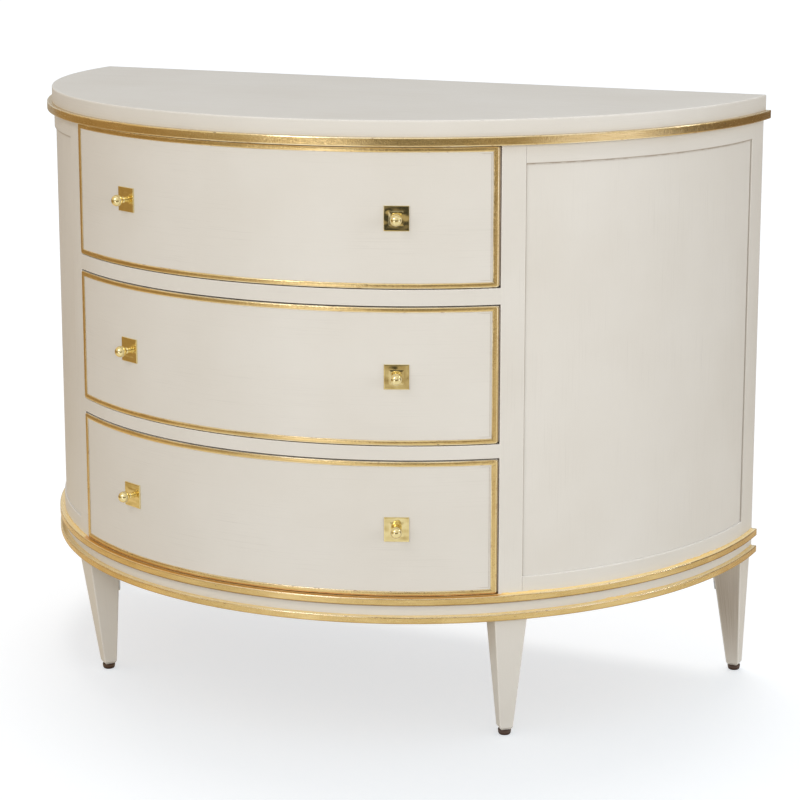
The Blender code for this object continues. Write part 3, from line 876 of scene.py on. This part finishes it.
def legPlaces():
    # name, origin at the middle of the top, right and inward directions, foot offset
    middle = angleAtX((frameSizes["stileInnerX"] + frameSizes["stileOuterX"]) / 2)
    heading, half = headingAt(middle), legSizes["top"] / 2
    right, inward = turnedAxes(heading)
    front = np.array([*planPoint(middle, 0.0), legSizes["topZ"]])
    front += right * legSizes["frontShift"] + inward * half
    rear = np.array([plan["halfWidth"] - legSizes["rearSideInset"] - half, plan["backY"] - half,
                     legSizes["topZ"]])
    for side, title in ((1, "right"), (-1, "left")):
        for end, origin, turn in (("front", front, heading), ("rear", rear, quarterTurn)):
            across, back = legSizes[end + "Foot"]
            axes, foot = turnedAxes(side * turn), (side * across, back)
            yield end + "_" + title, origin * (side, 1, 1), axes, foot


def makeLeg(title, origin, axes, foot, seed):
    # rounded squares lofted down the leg: ring(z) = centre(z) + size(z) * unit outline
    depth = np.concatenate([[0, legSizes["topRow"]], np.linspace(0, taper, 13)[1:],
                            [taper + legSizes["toeRow"], legSizes["length"]]])
    share = np.minimum(depth / taper, 1.0)
    size = legSizes["top"] + (legSizes["foot"] - legSizes["top"]) * share
    size[-1] = legSizes["foot"] - 2 * legSizes["chamfer"]
    rings, wear = [], []
    for down, half, moved in zip(depth, size / 2, share):
        loop, marks = easedSquare(half, legSizes["round"], 0.0010)
        ring = origin + (loop + np.array(foot) * moved) @ axes - np.array([0, 0, down])
        if title.startswith("rear"):
            # painted shade on the front face, most of it half way down
            front = (ring[:, 1] < ring[:, 1].min() + 0.00001) & (marks == 0)
            start, run = legSizes["rearGlazeRun"]
            glaze = -legSizes["rearGlaze"] * math.sin(halfTurn * (start + run * moved))
            marks = np.where(front, glaze, marks)
        rings.append(ring)
        wear.append(marks)
    marks = np.stack(wear)
    # darker at the top, where the leg meets the case, and rubbed lighter at the foot
    marks[0] = -0.5
    marks[-2:] = 0.8
    uv = uvGrid(depth, roundLength(loop) * 2)
    makePiece("leg_" + title, tubeParts(rings, marks, uv, (0, 1)), "cream_lacquer", seed)


# Glides: a nail-on disc with a rolled edge and a crowned sole
glideSizes = {"top": 0.0080, "radius": 0.0096, "sole": 0.0070, "edge": 0.0016, "ease": 0.0006,
              "nail": 0.0014, "nailLength": 0.0150}


def makeGlide(title, centre, seed):
    top, radius, sole, edge, ease, nail, length = (
        glideSizes[key] for key in ("top", "radius", "sole", "edge", "ease", "nail", "nailLength"))
    turn = np.linspace(0, quarterTurn, 7)
    rolled = np.stack([sole + (radius - sole) * np.cos(turn),
                       (top - edge) * (1 - np.sin(turn))], -1)
    profile = np.vstack([(0, length + top), (nail, length + top), (nail, top), (radius - ease, top),
                         (radius, top - ease), rolled, (sole * 0.6, 0.0), (0, 0.0)])
    place = [(centre[0], centre[1], 0), (1, 0, 0), (0, 1, 0), (0, 0, 1)]
    makePiece("foot_glide_" + title, turnedParts(profile, place), "dark_brown_plastic", seed)


# Brackets: a bent steel strip behind each leg, with two screws in each arm
bracketSizes = {
    "thickness": 0.0028,
    "width": 0.0340,
    "drop": 0.0560,
    "arm": 0.0360,
    "bend": 0.0030,
    "corner": 0.0040,
    "gap": 0.0003,
    "screwRadius": 0.0036,
    "screwHeight": 0.0016,
    "screwAside": 0.0090,
    "screwsDown": (0.022, 0.044),
    "screwBack": 0.0240,
}


def screwParts(origin, right, up, out, radius, height):
    # a domed head with a cross cut in it: height = dome(r) less the cross, on rings and spokes
    rings = np.array([[0.0, 0.12, 0.20, 0.28, 0.40, 0.52, 0.60, 0.72, 0.84, 0.93, 0.98, 1.0]]).T
    angle = np.linspace(0, 2 * halfTurn, 33)
    x, y = rings * np.cos(angle), rings * np.sin(angle)
    dome = height * np.sqrt(np.maximum(1 - (rings * 0.93) ** 2, 0)) * np.ones_like(x)
    cross = (np.minimum(np.abs(x), np.abs(y)) < 0.13) & (rings < 0.56)
    rise = np.where(cross, dome * 0.35, dome)
    rise[-1] = -0.0002
    origin, right, up, out = (np.asarray(value, float) for value in (origin, right, up, out))
    points = origin + radius * (x[..., None] * right + y[..., None] * up) + rise[..., None] * out
    return [part(points, np.stack([x, y], -1) * radius, np.zeros(x.shape)),
            capPart(points[-1, :-1], (0, 1))]


def makeBracket(title, origin, axes, foot, seed):
    # the strip's middle line runs up the leg's inner face and back under the case:
    # point(i, j, k) = line(i) + across * width(i) * j + normal(i) * thickness * k
    thickness = bracketSizes["thickness"]
    slope = (foot[1] + legSizes["foot"] / 2 - legSizes["top"] / 2) / taper
    start = legSizes["top"] / 2 + bracketSizes["gap"]
    bend = bracketSizes["bend"] + thickness
    drop = np.linspace(bracketSizes["drop"], bend, 10)
    turn = np.linspace(0, quarterTurn, 7)[1:-1]
    arm = np.linspace(bend, bracketSizes["arm"], 8)
    inward = start + np.concatenate([slope * drop, bend * (1 - np.cos(turn)), arm])
    down = np.concatenate([-drop, -bend * (1 - np.sin(turn)), 0 * arm])
    line = np.stack([inward, down], -1)
    run = runningLength(line)
    way = np.gradient(line, axis=0)
    way = way / np.linalg.norm(way, axis=1)[:, None]
    normal = np.stack([way[:, 1], -way[:, 0]], -1)
    size = bracketSizes["corner"]
    ends = easing(size, 6)[0]
    fine = np.unique(np.concatenate([run, ends, run[-1] - ends]))
    line, normal = (np.stack([np.interp(fine, run, value[:, k]) for k in (0, 1)], -1)
                    for value in (line, normal))
    toEnd = np.minimum(fine, fine[-1] - fine)
    left = np.sqrt(np.maximum(size ** 2 - (size - toEnd) ** 2, 0))
    half = bracketSizes["width"] / 2 - np.where(toEnd < size, size - left, 0)
    section = np.array([(-1, 0.08), (-1, 0.92), (-0.97, 1), (0.97, 1),
                        (1, 0.92), (1, 0.08), (0.97, 0), (-0.97, 0)])
    across = half[:, None] * section[None, :, 0]
    deep = line[:, None, :] + section[None, :, 1, None] * thickness * normal[:, None, :]
    points = (origin + np.stack([across, deep[..., 0]], -1) @ axes
              + deep[..., 1:] * np.array([0, 0, 1.0]))
    uv = uvGrid(fine, np.linspace(0, 0.07, len(section) + 1))
    makePiece("leg_bracket_" + title, tubeParts(points, 0.0, uv), "zinc_plated_steel", seed)
    heads = []
    head = bracketSizes["screwRadius"], bracketSizes["screwHeight"]
    for side in (-1, 1):
        middle = origin + axes[0] * side * bracketSizes["screwAside"]
        for depth in bracketSizes["screwsDown"]:
            spot = middle + axes[1] * (start + slope * depth + thickness) - np.array([0, 0, depth])
            heads += screwParts(spot, axes[0], (0, 0, 1), axes[1], *head)
        spot = middle + axes[1] * (start + bracketSizes["screwBack"]) - np.array([0, 0, thickness])
        heads += screwParts(spot, axes[0], axes[1], (0, 0, -1), *head)
    makePiece("bracket_screws_" + title, heads, "zinc_plated_steel", replaced=False)


for number, (title, origin, axes, foot) in enumerate(legPlaces()):
    makeLeg(title, origin, axes, foot, 1.1 * number)
    makeGlide(title, origin + np.array(foot) @ axes, 0.4 * number)
    makeBracket(title, origin, axes, foot, 0.7 * number)
print("legs made")


# Drawer fronts, with a gilt bead round each face
drawerSizes = {
    "halfWidth": 0.3344,
    "height": 0.1933,
    "frontThickness": 0.0200,
    "cornerRound": 0.0035,
    "beadWidth": 0.0071,
    "beadRise": 0.0018,
    "beadRound": 0.0007,
    "beadCrown": 0.00030,
    "glazeWidth": 0.0016,
    "glazeSide": 0.02,        # how far in from the right edge the glaze beside the bead runs
    "underBead": 0.0006,      # how far the face runs out under the bead
    "edgeRows": (0.0006, 0.0028, 0.0040),   # rows of points over the edge, darkened by glaze
    "rearEase": 0.0008,
}


def faceOutline(inset, level):
    # a rounded rectangle in x and z, drawn in by an inset; its points keep their order, and the
    # corner arcs close up to sharp corners once the inset passes the rounding
    radius = max(drawerSizes["cornerRound"] - inset, 0.0)
    half, tall = drawerSizes["halfWidth"] - inset, drawerSizes["height"] / 2 - inset
    middle = np.array([0.0, level + drawerSizes["height"] / 2])
    turn = np.linspace(0, quarterTurn, 7)
    corners = np.array([(1, -1), (1, 1), (-1, 1), (-1, -1)])
    sides = np.array([(1, 0), (0, 1), (-1, 0), (0, -1)])
    pieces = []
    for k in range(4):
        angle = (k - 1) * quarterTurn + turn
        centre = middle + corners[k] * (half - radius, tall - radius)
        pieces.append(centre + radius * np.stack([np.cos(angle), np.sin(angle)], -1))
        run = (tall, half)[k % 2] - radius
        along = np.linspace(-run, run, (13, 87)[k % 2])[1:-1, None]
        pieces.append(middle + sides[k] * (half, tall) + along * sides[(k + 1) % 4])
    return np.vstack(pieces)


def faceRing(inset, reach, level):
    x, z = faceOutline(inset, level).T
    return np.stack([x, faceY(x, reach), z], -1)


def faceGrid(inset, reach, level):
    # the face inside the rings: point(i, j) = (x_i, face at x_i, z_j)
    half = drawerSizes["halfWidth"] - inset
    low, high = level + inset, level + drawerSizes["height"] - inset
    x, z = np.meshgrid(np.linspace(-half, half, 87), np.linspace(low, high, 13), indexing="ij")
    points = np.stack([x, faceY(x, reach), z], -1)
    return part(points, points[..., [0, 2]], np.zeros(x.shape))


def makeDrawerFront(body, level, seed):
    # rings from the face outwards, over its edge and round to the back
    width, glaze, ease = (drawerSizes[key] for key in ("beadWidth", "glazeWidth", "rearEase"))
    rear, top = -drawerSizes["frontThickness"], level + drawerSizes["height"]
    within = ease + drawerSizes["cornerRound"]
    insets = [width + share * glaze for share in (2.2, 1.5, 1, 0)] + [drawerSizes["underBead"]]
    rings = [faceRing(inset, 0.0, level) for inset in insets]
    rings += [faceRing(0.0, -down, level) for down in drawerSizes["edgeRows"]]
    rings += [faceRing(0.0, rear + ease, level), faceRing(ease, rear, level)]
    # the rings over the edge and round the back are darkened: painted shade in the gaps; the ring
    # at the bead's edge is a little lighter, a painted highlight
    wear = np.array([0, -0.45, 0, 0.25, 0, 0.3, 0, -1.0, -1.0, -0.4])
    face = ringParts(rings, wear[:, None])
    # a glaze line beside the bead only at the right; the edge is darkened as painted shade in the
    # gaps, except at the top, where it stays cream
    right = face["points"][1, :, 0] > drawerSizes["halfWidth"] - drawerSizes["glazeSide"]
    face["wear"][1] = np.where(right, wear[1], 0.0)
    upper = face["points"][5, :, 2] > top - 0.001
    face["wear"][5] = np.where(upper, 0.3, -0.8)
    face["wear"][6] = np.where(upper, 0.0, -1.0)
    parts = [face, faceGrid(insets[0], 0.0, level), faceGrid(within, rear, level),
             ringParts([rings[-1], faceRing(within, rear, level)], np.array([[-0.4], [0]]))]
    makePiece(body + "_front", parts, "cream_lacquer", seed, body)


def makeBead(body, level, seed):
    # an eased, slightly crowned strip: ring(k) is the face outline at inset k, at rise k
    width, rise, size, drop = (drawerSizes["bead" + key]
                               for key in ("Width", "Rise", "Round", "Crown"))
    inward, fall = easing(size)
    crown = np.linspace(0, 1, 5)[1:-1]
    insets = np.concatenate([[0.0], inward, size + (width - 2 * size) * crown,
                             width - fall, [width]])
    rises = np.concatenate([[-0.0002], rise - drop - fall, rise - drop * (2 * crown - 1) ** 2,
                            rise - drop - inward, [-0.0002]])
    wear = np.array([0.2] + [1.0] * 5 + [0.0] * 3 + [1.0] * 5 + [0.0, 0.2])
    rings = [faceRing(inset, reach, level) for inset, reach in zip(insets, rises)]
    points = np.stack(rings + rings[:1])
    # the outer arris is darker at the right, and darkened under the top moulding and over the base
    # as painted shade
    marks = np.where(points[..., 0] > drawerSizes["halfWidth"] - size * 0.9, -0.5, wear[:, None])
    if body == "upper_drawer":
        marks = np.where(points[..., 2] > level + drawerSizes["height"] - size, -0.9, marks)
    if body == "lower_drawer":
        marks = np.where(points[..., 2] < level + size * 0.7, -0.9, marks)
    uv = uvGrid(np.append(insets, 0.012), roundLength(points[0]))[..., ::-1]
    makePiece(body + "_bead", [ringParts(points, marks, uv)], "gold_leaf", seed, body, sharp=40)


# Knobs: a turned brass ball on a neck with a bulb, a small square boss and a square plate
knobSizes = {
    "x": 0.2120,
    "plate": 0.0350,
    "plateTop": 0.0019,
    "plateEase": 0.0005,
    "plateBack": -0.0006,
    "plateCorner": 0.0003,
    "boss": 0.0204,
    "bossTop": 0.0150,
    "bossRise": 0.00016,
    "bossLip": 0.0002,
    "bossCorner": 0.0016,
    "waist": 0.0027,
    "waistTop": 0.0098,
    "bulb": 0.0046,
    "bulbMiddle": 0.0064,
    "bulbHalf": 0.0021,
    "foot": 0.0036,
    "ball": 0.0083,
    "ballSeat": 0.0032,
    "ballSink": 0.0006,       # how far the ball sits down over the waist
}


def knobPlace(side, z):
    angle = angleAtX(knobSizes["x"])
    x, y = planPoint(angle, 0.0)
    right, inward = turnedAxes(side * headingAt(angle))
    return [(side * x, y, z), right, (0, 0, 1), -inward]


def makePlate(body, title, place, seed):
    ease, top, half = knobSizes["plateEase"], knobSizes["plateTop"], knobSizes["plate"] / 2
    inward, fall = easing(ease)
    insets = np.concatenate([[0.0], inward, [ease + 0.0012]])
    rises = np.concatenate([[knobSizes["plateBack"]], top - fall, [top]])
    parts = tubeParts(squareRings(place, half - insets, rises, knobSizes["plateCorner"]), 0.0)
    makePiece(body + "_knob_plate_" + title, parts, "polished_brass", seed, body)


def bossParts(place):
    # the square step under the neck: rings of a square with soft corners, a low pyramid whose
    # rise at the share s of its inset is bossRise * s * s * (3 - 2 s)
    share = np.linspace(0, 1, 7)
    half, lip, rise = knobSizes["boss"] / 2, knobSizes["bossLip"], knobSizes["bossRise"]
    draw = half - knobSizes["bossTop"] / 2
    base = knobSizes["plateTop"] - lip / 2
    insets = np.concatenate([[0.0, 0.0], lip + draw * share, [draw + 0.0009]])
    rises = base + np.concatenate([[0.0, lip * 0.75], lip + rise * share * share * (3 - 2 * share),
                                   [lip + rise]])
    return tubeParts(squareRings(place, half - insets, rises, knobSizes["bossCorner"]), 0.0)


def makeKnob(body, title, place, seed):
    # from the tip: ball, narrow waist, bulb and a foot that runs into the boss
    sizes = knobSizes
    rise = sizes["plateTop"] + sizes["bossRise"]
    seat = math.asin(sizes["ballSeat"] / sizes["ball"])
    centre = sizes["waistTop"] + sizes["ball"] * math.cos(seat) - sizes["ballSink"]
    swing = np.linspace(0, halfTurn - seat, 25)
    ball = np.stack([sizes["ball"] * np.sin(swing), centre + sizes["ball"] * np.cos(swing)], -1)
    turn = np.linspace(0, halfTurn, 13)
    radius = np.where(turn < quarterTurn, sizes["waist"], sizes["foot"])
    bulb = np.stack([radius + (sizes["bulb"] - radius) * np.sin(turn),
                     sizes["bulbMiddle"] + sizes["bulbHalf"] * np.cos(turn)], -1)
    profile = np.vstack([ball, (sizes["waist"], sizes["waistTop"] - 0.0004), bulb,
                         (sizes["foot"], rise), (0, rise - 0.0004)])
    parts = turnedParts(profile, place, 64) + bossParts(place)
    makePiece(body + "_knob_" + title, parts, "polished_brass", seed, body)


drawers = ("lower_drawer", "middle_drawer", "upper_drawer")
for number, body in enumerate(drawers):
    level = levels(body + "_front")[0]
    makeDrawerFront(body, level, 1.9 * number + 0.5)
    makeBead(body, level, 2.3 * number + 0.2)
    for side, title in ((1, "right"), (-1, "left")):
        place = knobPlace(side, level + drawerSizes["height"] / 2)
        makePlate(body, title, place, 0.3 * number)
        makeKnob(body, title, place, 0.3 * number)
print("drawer fronts made")


# Finishes for the wooden parts that keep their own shapes
woodAlongY = makeHardwood("hardwoodAlongY", 1)
woodAlongX = makeHardwood("hardwoodAlongX", 0)
plyFlat = makePlywood("plywoodFlat", (1.6, 9.0, 9.0), 2)
plyBack = makePlywood("plywoodBack", (9.0, 9.0, 1.6), 1)
plyUpright = makePlywood("plywoodUpright", (9.0, 1.6, 9.0), 0)
finishes = {"top_board": plyFlat, "bottom_board": plyFlat, "partition_left": plyUpright,
            "partition_right": plyUpright, "back_panel": plyBack}
for body in drawers:
    finishes.update({body + "_side_left": woodAlongY, body + "_side_right": woodAlongY,
                     body + "_back": woodAlongX, body + "_bottom": plyFlat})
for name, material in finishes.items():
    slots = nodes[name].data.materials
    if not slots:
        slots.append(material)
    for index in range(len(slots)):
        slots[index] = material
print("wooden parts finished")


# Screws that hold the back panel
backScrews = {"inset": 0.010, "across": 5, "up": 4, "radius": 0.0038, "height": 0.0014}


def makeBackScrews():
    # heads at even steps round the edge of the panel
    low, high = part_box("back_panel")
    inset = backScrews["inset"]
    xs = np.linspace(low.x + inset, high.x - inset, backScrews["across"])
    zs = np.linspace(low.z + inset, high.z - inset, backScrews["up"])
    parts = []
    for x in xs:
        for z in zs:
            if x in (xs[0], xs[-1]) or z in (zs[0], zs[-1]):
                parts += screwParts((x, high.y, z), (-1, 0, 0), (0, 0, 1), (0, 1, 0),
                                    backScrews["radius"], backScrews["height"])
    makePiece("back_panel_screws", parts, "zinc_plated_steel", replaced=False)


makeBackScrews()
print("screws made")


# Floor, lights and camera
studio = {
    # the pale floor that the camera sees: half its own glow, so that shadows stay light
    "floorColour": (0.57, 0.57, 0.57),
    "floorGlow": (0.568, 0.600, 0.632),
    "floorSize": 60.0,
    # a plainer floor just under it, which only bounced light sees
    "bounceColour": (0.54, 0.50, 0.44),
    "bounceDrop": 0.003,
    "skyColour": (1.0, 1.0, 1.0),
    "skyStrength": 0.60,
    # a soft sun from above and behind: (azimuth, elevation, angle, strength, colour)
    "softSun": (206, 70, 22, 0.80, (1.0, 0.975, 0.94)),
    "lights": {
        # name: (azimuth, elevation, distance, width, height, watts, colour, shows in reflections)
        "keyLight": (-12, 38, 4.2, 1.0, 1.0, 22, (1.0, 0.98, 0.95), True),
        "frontFill": (-12, 12, 4.2, 2.0, 1.2, 35, (1.0, 0.98, 0.95), False),
        "rightFill": (38, 14, 4.0, 2.0, 1.2, 36, (1.0, 0.99, 0.97), False),
        "sideFill": (82, 14, 4.0, 1.6, 1.2, 28, (0.97, 0.98, 1.0), False),
        "sideLight": (120, 30, 4.0, 0.6, 0.6, 12, (0.97, 0.98, 1.0), True),
        "ledgeLight": (30, 62, 3.6, 1.6, 1.2, 27, (1.0, 0.98, 0.95), False),
    },
    "aimHeight": 0.5,
    # what the metal reflects: rows of (radius, height, colours at the turns)
    "turns": (-115, -60, -34, -20, -10, 4, 12, 28, 46, 62, 76, 96, 110, 128),
    "room": (
        (0.05, 0.004, "amber amber near near near near near near near near near near near tan"),
        (1.20, 0.004, "amber amber near mid bright bright near near near near near near near tan"),
        (1.60, 0.004, "rust rust mid mid bright bright near mid near near near near mid tan"),
        (2.40, 0.004, "ochre ochre far far glow glow mid far mid mid near near mid earth"),
        (4.00, 0.004, "ochre ochre far far glow glow far far far far bright bright dim earth"),
        (4.40, 0.004, "ochre ochre far far glow glow dark dark dim far lit lit dim umber"),
        (4.40, 0.250, "ochre ochre far far glow glow dark dark dim far lit lit dark umber"),
        (4.40, 0.500, "ochre ochre far mid lit lit dim dim dim far lit lit dark umber"),
        (4.40, 0.800, "ochre ochre dim far mid mid dark dark dim dim lit lit dark umber"),
        (4.40, 1.100, "umber umber dark dim dim dim dark dark dark dark dim dim dark umber"),
        (4.40, 1.220, "umber umber dark dark dark dark dark dark dark dark dim dim dark umber"),
        (4.40, 1.260, "amber amber near white white white white white mid mid near near mid dim"),
        (3.60, 3.200, "amber amber near white white white white white mid mid near near mid dim"),
        (1.80, 4.400,
         "near near near white white white white white white white white white near near"),
        (0.10, 4.800,
         "near near near white white white white white white white white white near near"),
    ),
    "roomColours": {
        "glow": (1.90, 1.90, 2.00), "lit": (1.25, 1.30, 1.62), "bright": (1.12, 1.12, 1.14),
        "near": (0.92, 0.91, 0.84), "mid": (0.74, 0.67, 0.52), "far": (0.46, 0.38, 0.24),
        "dim": (0.30, 0.25, 0.17), "dark": (0.05, 0.05, 0.04), "amber": (0.82, 0.67, 0.44),
        "rust": (0.58, 0.45, 0.24), "ochre": (0.40, 0.265, 0.11), "umber": (0.20, 0.13, 0.07),
        "earth": (0.30, 0.21, 0.13), "tan": (0.70, 0.58, 0.42), "white": (1.0, 1.0, 0.97),
    },
    "roomSpan": (-118, 165),
    # a warm curtain on the left, which only bounced light sees
    "curtain": ((2.40, 0.000, "curtain"), (2.40, 1.900, "curtain")),
    "curtainColours": {"curtain": (0.66, 0.49, 0.34)},
    "curtainSpan": (-135, -58),
}


def makeFloor(title, height, colour, glow, bounces):
    half = studio["floorSize"] / 2
    mesh = bpy.data.meshes.new(title)
    corners = ((-half, -half), (half, -half), (half, half), (-half, half))
    mesh.from_pydata([(x, y, height) for x, y in corners], [], [(0, 1, 2, 3)])
    material, tree = newMaterial(title + "Paint")
    plug(tree.nodes["Principled BSDF"],
         {"Base Color": (*colour, 1), "Roughness": 1.0, "Specular IOR Level": 0.0,
          "Emission Color": (*glow, 1), "Emission Strength": 1.0})
    mesh.materials.append(material)
    floor = addObject(title, mesh)
    floor.visible_camera = not bounces
    floor.visible_diffuse = floor.visible_glossy = bounces
    floor.visible_shadow = False


def makeCurve(title, rows, colours, spread, turns, reflected):
    # a glowing surface swept round the chest: rows of (radius, height) at each azimuth, whose
    # colours run from one turn to the next; it is seen only by reflections or only by bounced
    # light
    degrees = np.linspace(*spread, 143)
    azimuth = np.radians(degrees)[:, None]
    radius, height = (np.array([row[k] for row in rows])[None, :] for k in (0, 1))
    points = np.stack([radius * np.sin(azimuth), -radius * np.cos(azimuth),
                       height + 0 * azimuth], -1)
    table = np.array([[colours[word] for word in row[2].split()] for row in rows])
    colour = np.stack([[np.interp(degrees, turns, line[:, k]) for k in (0, 1, 2)]
                       for line in table])
    full = np.ones((*points.shape[:2], 4))
    full[..., :3] = colour.transpose(2, 0, 1)
    mesh = bpy.data.meshes.new(title)
    index = np.arange(full.size // 4).reshape(full.shape[:2])
    mesh.from_pydata(points.reshape(-1, 3).tolist(), [], quadFaces(index))
    mark = mesh.attributes.new("glow", "FLOAT_COLOR", "POINT")
    mark.data.foreach_set("color", full.astype(np.float32).ravel())
    material, tree = newMaterial(title)
    glow = node("ShaderNodeAttribute", {}, tree, attribute_name="glow").outputs["Color"]
    light = node("ShaderNodeEmission", {"Color": glow})
    plug(tree.nodes["Material Output"], {"Surface": light.outputs[0]})
    mesh.materials.append(material)
    curve = addObject(title, mesh)
    curve.visible_camera = curve.visible_shadow = False
    curve.visible_glossy = reflected
    curve.visible_diffuse = not reflected


def facing(light, azimuth, elevation, place):
    light.location = place
    light.rotation_euler = (math.radians(90 - elevation), 0, math.radians(azimuth))


def receivers(title, names):
    # a set of objects that a lamp is linked to
    made = bpy.data.collections.new(title)
    for name in names:
        made.objects.link(bpy.data.objects[name])
    return made


def makeLights():
    # the lamps light the chest and leave the seen floor to the sky and the soft sun; one lights
    # only the base mouldings
    spared = receivers("sparedByLamps", ["floor"])
    spared.collection_objects[0].light_linking.link_state = "EXCLUDE"
    ledges = receivers("litFromAbove", ["baseMouldingUpper", "baseMouldingLower"])
    for title, lamp in studio["lights"].items():
        azimuth, elevation, distance, width, height, watts, colour, shows = lamp
        data = bpy.data.lights.new(title, "AREA")
        data.shape = "RECTANGLE"
        data.size, data.size_y = width, height
        data.energy, data.color = watts, colour
        light = addObject(title, data)
        turn, rise = math.radians(azimuth), math.radians(elevation)
        flat = distance * math.cos(rise)
        facing(light, azimuth, elevation,
               (flat * math.sin(turn), -flat * math.cos(turn),
                studio["aimHeight"] + distance * math.sin(rise)))
        light.visible_camera = False
        light.visible_glossy = shows
        light.light_linking.receiver_collection = ledges if title == "ledgeLight" else spared
    azimuth, elevation, angle, strength, colour = studio["softSun"]
    data = bpy.data.lights.new("softSun", "SUN")
    data.energy, data.color, data.angle = strength, colour, math.radians(angle)
    sun = addObject("softSun", data)
    facing(sun, azimuth, elevation, (0, 0, 4))
    sun.visible_glossy = False
    world = bpy.data.worlds.new("studioSky")
    world.use_nodes = True
    seen = node("ShaderNodeLightPath", {}, world.node_tree).outputs["Is Camera Ray"]
    strength = span(seen, 0, 1, studio["skyStrength"], 1.0)
    plug(world.node_tree.nodes["Background"],
         {"Color": (*studio["skyColour"], 1), "Strength": strength})
    bpy.context.scene.world = world


view = {
    "place": (1.5131, -3.0620, 1.2368),
    "pitch": 0.1906,
    "turn": 0.4308,
    "lens": 104.53,
    "sensor": 36,
    "shiftUp": -0.12,
    "farEnd": 200,
}


def makeCamera():
    data = bpy.data.cameras.new("camera")
    data.sensor_width, data.lens = view["sensor"], view["lens"]
    data.shift_y, data.clip_end = view["shiftUp"], view["farEnd"]
    camera = addObject("camera", data)
    camera.location = view["place"]
    camera.rotation_euler = (quarterTurn - view["pitch"], 0, view["turn"])
    bpy.context.scene.camera = camera


makeFloor("floor", 0.0, studio["floorColour"], studio["floorGlow"], False)
makeFloor("bounceFloor", -studio["bounceDrop"], studio["bounceColour"], (0, 0, 0), True)
makeCurve("reflectedRoom", studio["room"], studio["roomColours"], studio["roomSpan"],
          studio["turns"], True)
makeCurve("warmCurtain", studio["curtain"], studio["curtainColours"], studio["curtainSpan"],
          (0,), False)
makeLights()
makeCamera()
bpy.context.scene.view_settings.view_transform = "Standard"
print("studio ready")
